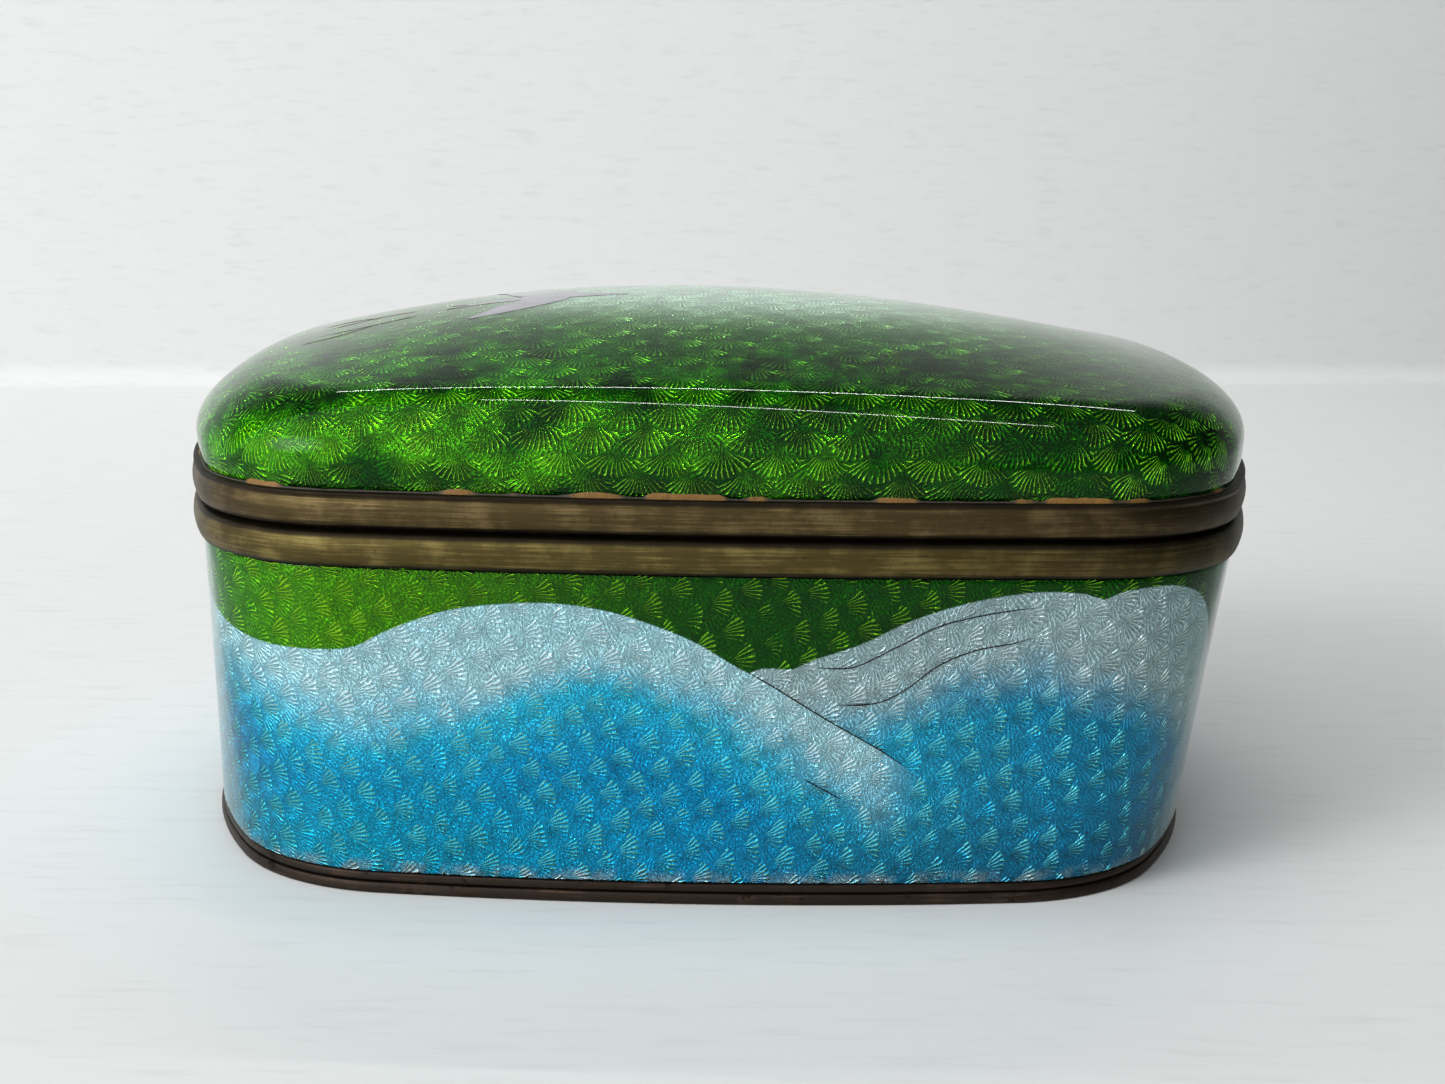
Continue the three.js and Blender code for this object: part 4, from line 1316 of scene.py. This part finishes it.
bird_lilac = opaque_enamel("opaque_enamel_lilac", (0.05, 0.035, 0.08), (0.13, 0.11, 0.19))
BIRD_AT, BIRD_SIZE = (-13.0, -2.0), 1.1
bird_body = [(5.2, -1.0), (4.2, -0.3), (3.0, 0.2), (1.0, 0.7), (-1.6, 0.5), (-3.6, 0.0), (-6.4, 0.1),
             (-5.2, -0.6),
             (-6.6, -1.2), (-3.4, -1.0), (-1.0, -1.3), (1.6, -1.4), (3.6, -1.2), (4.4, -1.1)]
bird_wing_far = [(2.0, 0.3), (1.2, 2.4), (-1.2, 4.8), (-4.0, 6.6), (-3.2, 4.4), (-2.8, 2.6), (-1.4, 0.4)]
bird_wing_near = [(1.6, -1.2), (0.6, -3.0), (-1.8, -5.0), (-4.6, -6.2), (-3.6, -4.2), (-2.8, -2.4),
                  (-1.2, -1.0)]
stems = [[(-8.0, -2.0), (-11.0, -3.2), (-14.5, -3.4)], [(-8.6, 0.4), (-11.5, 0.8), (-15.0, 0.0)],
         [(-11.0, -3.2), (-13.0, -5.0), (-15.6, -5.6)], [(-11.5, 0.8), (-13.2, 2.4), (-15.4, 2.8)]]


def bird_line(points, closed=True):
    line = points + points[:1] if closed else points
    return [(BIRD_AT[0] + x * BIRD_SIZE, BIRD_AT[1] + y * BIRD_SIZE) for x, y in line]


INLAY_OUT, INLAY_THICK = 0.02, 0.12


def inlay(name, shapes, material):
    """Flat enamel shapes on the crown, filled from their outlines, with a small thickness."""
    bench = bmesh.new()
    for shape in shapes:
        ring = [bench.verts.new((x, y, 0)) for x, y in through(bird_line(shape), 4)[:-1]]
        bmesh.ops.triangulate(bench, faces=[bench.faces.new(ring)])
    bmesh.ops.subdivide_edges(bench, edges=bench.edges, cuts=2, use_grid_fill=True)
    for face in bench.faces:
        if face.normal.z < 0:
            face.normal_flip()
    for vert in bench.verts:
        vert.co = Vector(on_crown(vert.co.x, vert.co.y, INLAY_OUT))
    # the underside is a copy set a little lower, with its faces turned over
    copy = bmesh.ops.duplicate(bench, geom=bench.verts[:] + bench.edges[:] + bench.faces[:])
    twins = {a: b for a, b in copy["vert_map"].items() if isinstance(a, bmesh.types.BMVert)}
    rim = [edge for edge in bench.edges if edge.is_boundary and all(v in twins for v in edge.verts)]
    under = {item for item in copy["geom"] if isinstance(item, bmesh.types.BMVert)}
    for vert in under:
        vert.co.z -= INLAY_THICK * MM
    for item in copy["geom"]:
        if isinstance(item, bmesh.types.BMFace):
            item.normal_flip()
    # the side wall joins each edge of the rim to its copy
    for edge in rim:
        a, b = edge.verts
        if a in under:
            continue
        around = [corner.vert for corner in edge.link_faces[0].loops]
        if around[(around.index(a) + 1) % len(around)] != b:
            a, b = b, a
        bench.faces.new((b, a, twins[a], twins[b]))
    mesh = bpy.data.meshes.new(name)
    bench.to_mesh(mesh)
    bench.free()
    finish_mesh(mesh)
    return add_piece(name, mesh, material, "lid_enamel", "lid")


bird_shapes = [bird_body, bird_wing_far, bird_wing_near]
inlay("bird_inlay", bird_shapes, bird_lilac)
bird_lines = [bird_line(shape) for shape in bird_shapes]
bird_lines += [bird_line(stem, closed=False) for stem in stems]
lay_wires("wires_of_bird", bird_lines, on_crown, BIRD_WIRE, BIRD_WIRE_SINK, "lid", "lid_enamel", wire_brown)


# %% [markdown]
# ## Camera, light and floor
# The box is seen from its front, a little from above, with a lens of about 52 mm on a 36 mm sensor and
# very near, as small things are. A large soft window stands to the left, the ceiling throws some of its
# light down, and two narrow strips draw the thin lines on the shoulder. The box stands on a pale board
# that bends up behind it. The board turns dark above the view, where the lid would mirror its edge.

# %% Camera
MIDDLE_X = 0.3
camera_data = bpy.data.cameras.new("camera")
camera_data.lens = 52.32
camera_data.sensor_width = 36.0
camera_data.clip_start = 0.005
camera = in_scene("camera", camera_data)
CAMERA_BACK, CAMERA_UP, CAMERA_PITCH, CAMERA_ROLL = 154.2, 51.1, 0.21, 0.0165
camera.location = (MIDDLE_X * MM, (MIDDLE_Y - CAMERA_BACK) * MM, CAMERA_UP * MM)
look = Matrix.Rotation(math.pi / 2 - CAMERA_PITCH, 4, "X") @ Matrix.Rotation(CAMERA_ROLL, 4, "Z")
camera.rotation_euler = look.to_euler()
bpy.context.scene.camera = camera
print("camera", CAMERA_BACK, "mm in front and", CAMERA_UP, "mm up")


# %% Floor and wall in one bent sheet
BOARD_PALE, BOARD_STREAK = (0.72, 0.715, 0.70), (0.5, 0.49, 0.47)
BOARD_SHADED_RIGHT, BOARD_DARK = (0.40, 0.41, 0.39), (0.10, 0.105, 0.105)


def pale_board():
    material, tree, shader = new_material("pale_board")
    place = object_place(tree)
    stretch = put(tree, "ShaderNodeMapping", {"Vector": place, "Scale": (0.14, 1.0, 1.0)}).outputs[0]
    grain = cloud(tree, stretch, 900.0, 5.0, 0.6)
    streaks = rise(tree, grain, 0.5, 0.75)
    colour = tint(tree, times(tree, streaks, 0.25), BOARD_PALE, BOARD_STREAK)
    axes = put(tree, "ShaderNodeSeparateXYZ", {0: place})
    # painted shade: the board is darkened towards the right, away from the window
    shade_to_the_right = rise(tree, axes.outputs[0], -0.02, 0.28)
    colour = tint(tree, times(tree, shade_to_the_right, 0.5), colour, BOARD_SHADED_RIGHT)
    above_the_view = rise(tree, axes.outputs[2], 0.08, 0.34)
    colour = tint(tree, above_the_view, colour, BOARD_DARK)
    tree.links.new(colour, shader.inputs["Base Color"])
    add_bump(tree, shader, grain, 0.05 * MM, strength=0.5)
    set_sockets(shader, Roughness=0.55)
    return material


BOARD_FRONT, BOARD_BACK, BOARD_HALF, BOARD_TALL = -1.2, 0.219, 1.6, 1.0
BEND, BOARD_TURN = 0.004, math.radians(8)
bend_from = BOARD_BACK - BEND
bend_line = [(BOARD_FRONT, 0.0), (bend_from, 0.0)]
for angle in steps(0, math.pi / 2, 6)[1:]:
    bend_line.append((bend_from + BEND * math.sin(angle), BEND * (1 - math.cos(angle))))
bend_line.append((BOARD_BACK, BOARD_TALL))
board_points = [(x, y, z) for y, z in bend_line for x in (-BOARD_HALF, BOARD_HALF)]
board_faces = [(2 * i, 2 * i + 1, 2 * i + 3, 2 * i + 2) for i in range(len(bend_line) - 1)]
board_mesh = bpy.data.meshes.new("board")
board_mesh.from_pydata(board_points, [], board_faces)
board_mesh.transform(Matrix.Rotation(BOARD_TURN, 4, "Z"))
board_mesh.polygons.foreach_set("use_smooth", [True] * len(board_faces))
board = add_piece("board", board_mesh, pale_board())
print("board:", len(board_faces), "faces")


# %% Lights
def soft_light(name, place, aim, size, watts, colour=(1.0, 1.0, 1.0)):
    data = bpy.data.lights.new(name, "AREA")
    data.shape = "RECTANGLE"
    data.size, data.size_y = size
    data.energy = watts
    data.color = colour
    light = in_scene(name, data)
    light.location = place
    light.rotation_euler = (Vector(aim) - Vector(place)).to_track_quat("-Z", "Y").to_euler()
    return light


BOX_MIDDLE = (0.0, 0.0, 0.02)
WINDOW_AT, WINDOW_COLOUR = (-0.52, -0.42, 0.36), (0.95, 0.98, 1.0)
# discs of growing size on one another fade softly at the rim
for across, watts in ((0.24, 0.9), (0.32, 1.1), (0.40, 1.1), (0.50, 1.1)):
    window = soft_light("window_left", WINDOW_AT, BOX_MIDDLE, (across, across), watts, WINDOW_COLOUR)
    window.data.shape = "DISK"
# the ceiling lights the crown but doesn't show as a reflection in the glass
ceiling = soft_light("ceiling_bounce", (-0.25, -0.15, 0.9), (0.0, 0.1, 0.0), (0.9, 0.9), 1.5)
ceiling.visible_glossy = False
soft_light("strip_high", (0.01, 0.19, 0.31), BOX_MIDDLE, (0.27, 0.003), 0.17)
soft_light("strip_low", (0.015, 0.03, 0.38), BOX_MIDDLE, (0.20, 0.003), 0.10)

ROOM_DARK, ROOM_BRIGHT, ROOM_STRENGTH = (0.15, 0.155, 0.16), (1.9, 1.98, 2.03), 0.55
BRIGHT_SIDE = (-0.72, -0.42, 0.55)


def pale_room():
    """Soft light from all round, brightest overhead and on the left."""
    world = bpy.data.worlds.new("pale_room")
    world.use_nodes = True
    tree = world.node_tree
    way = put(tree, "ShaderNodeTexCoord").outputs["Generated"]
    dot = put(tree, "ShaderNodeVectorMath", {0: way, 1: BRIGHT_SIDE}, operation="DOT_PRODUCT")
    glow = rise(tree, dot.outputs["Value"], 0.0, 1.0)
    colour = tint(tree, glow, ROOM_DARK, ROOM_BRIGHT)
    back = tree.nodes["Background"]
    tree.links.new(colour, back.inputs["Color"])
    back.inputs["Strength"].default_value = ROOM_STRENGTH
    return world


bpy.context.scene.world = pale_room()
bpy.context.scene.view_settings.view_transform = "Standard"
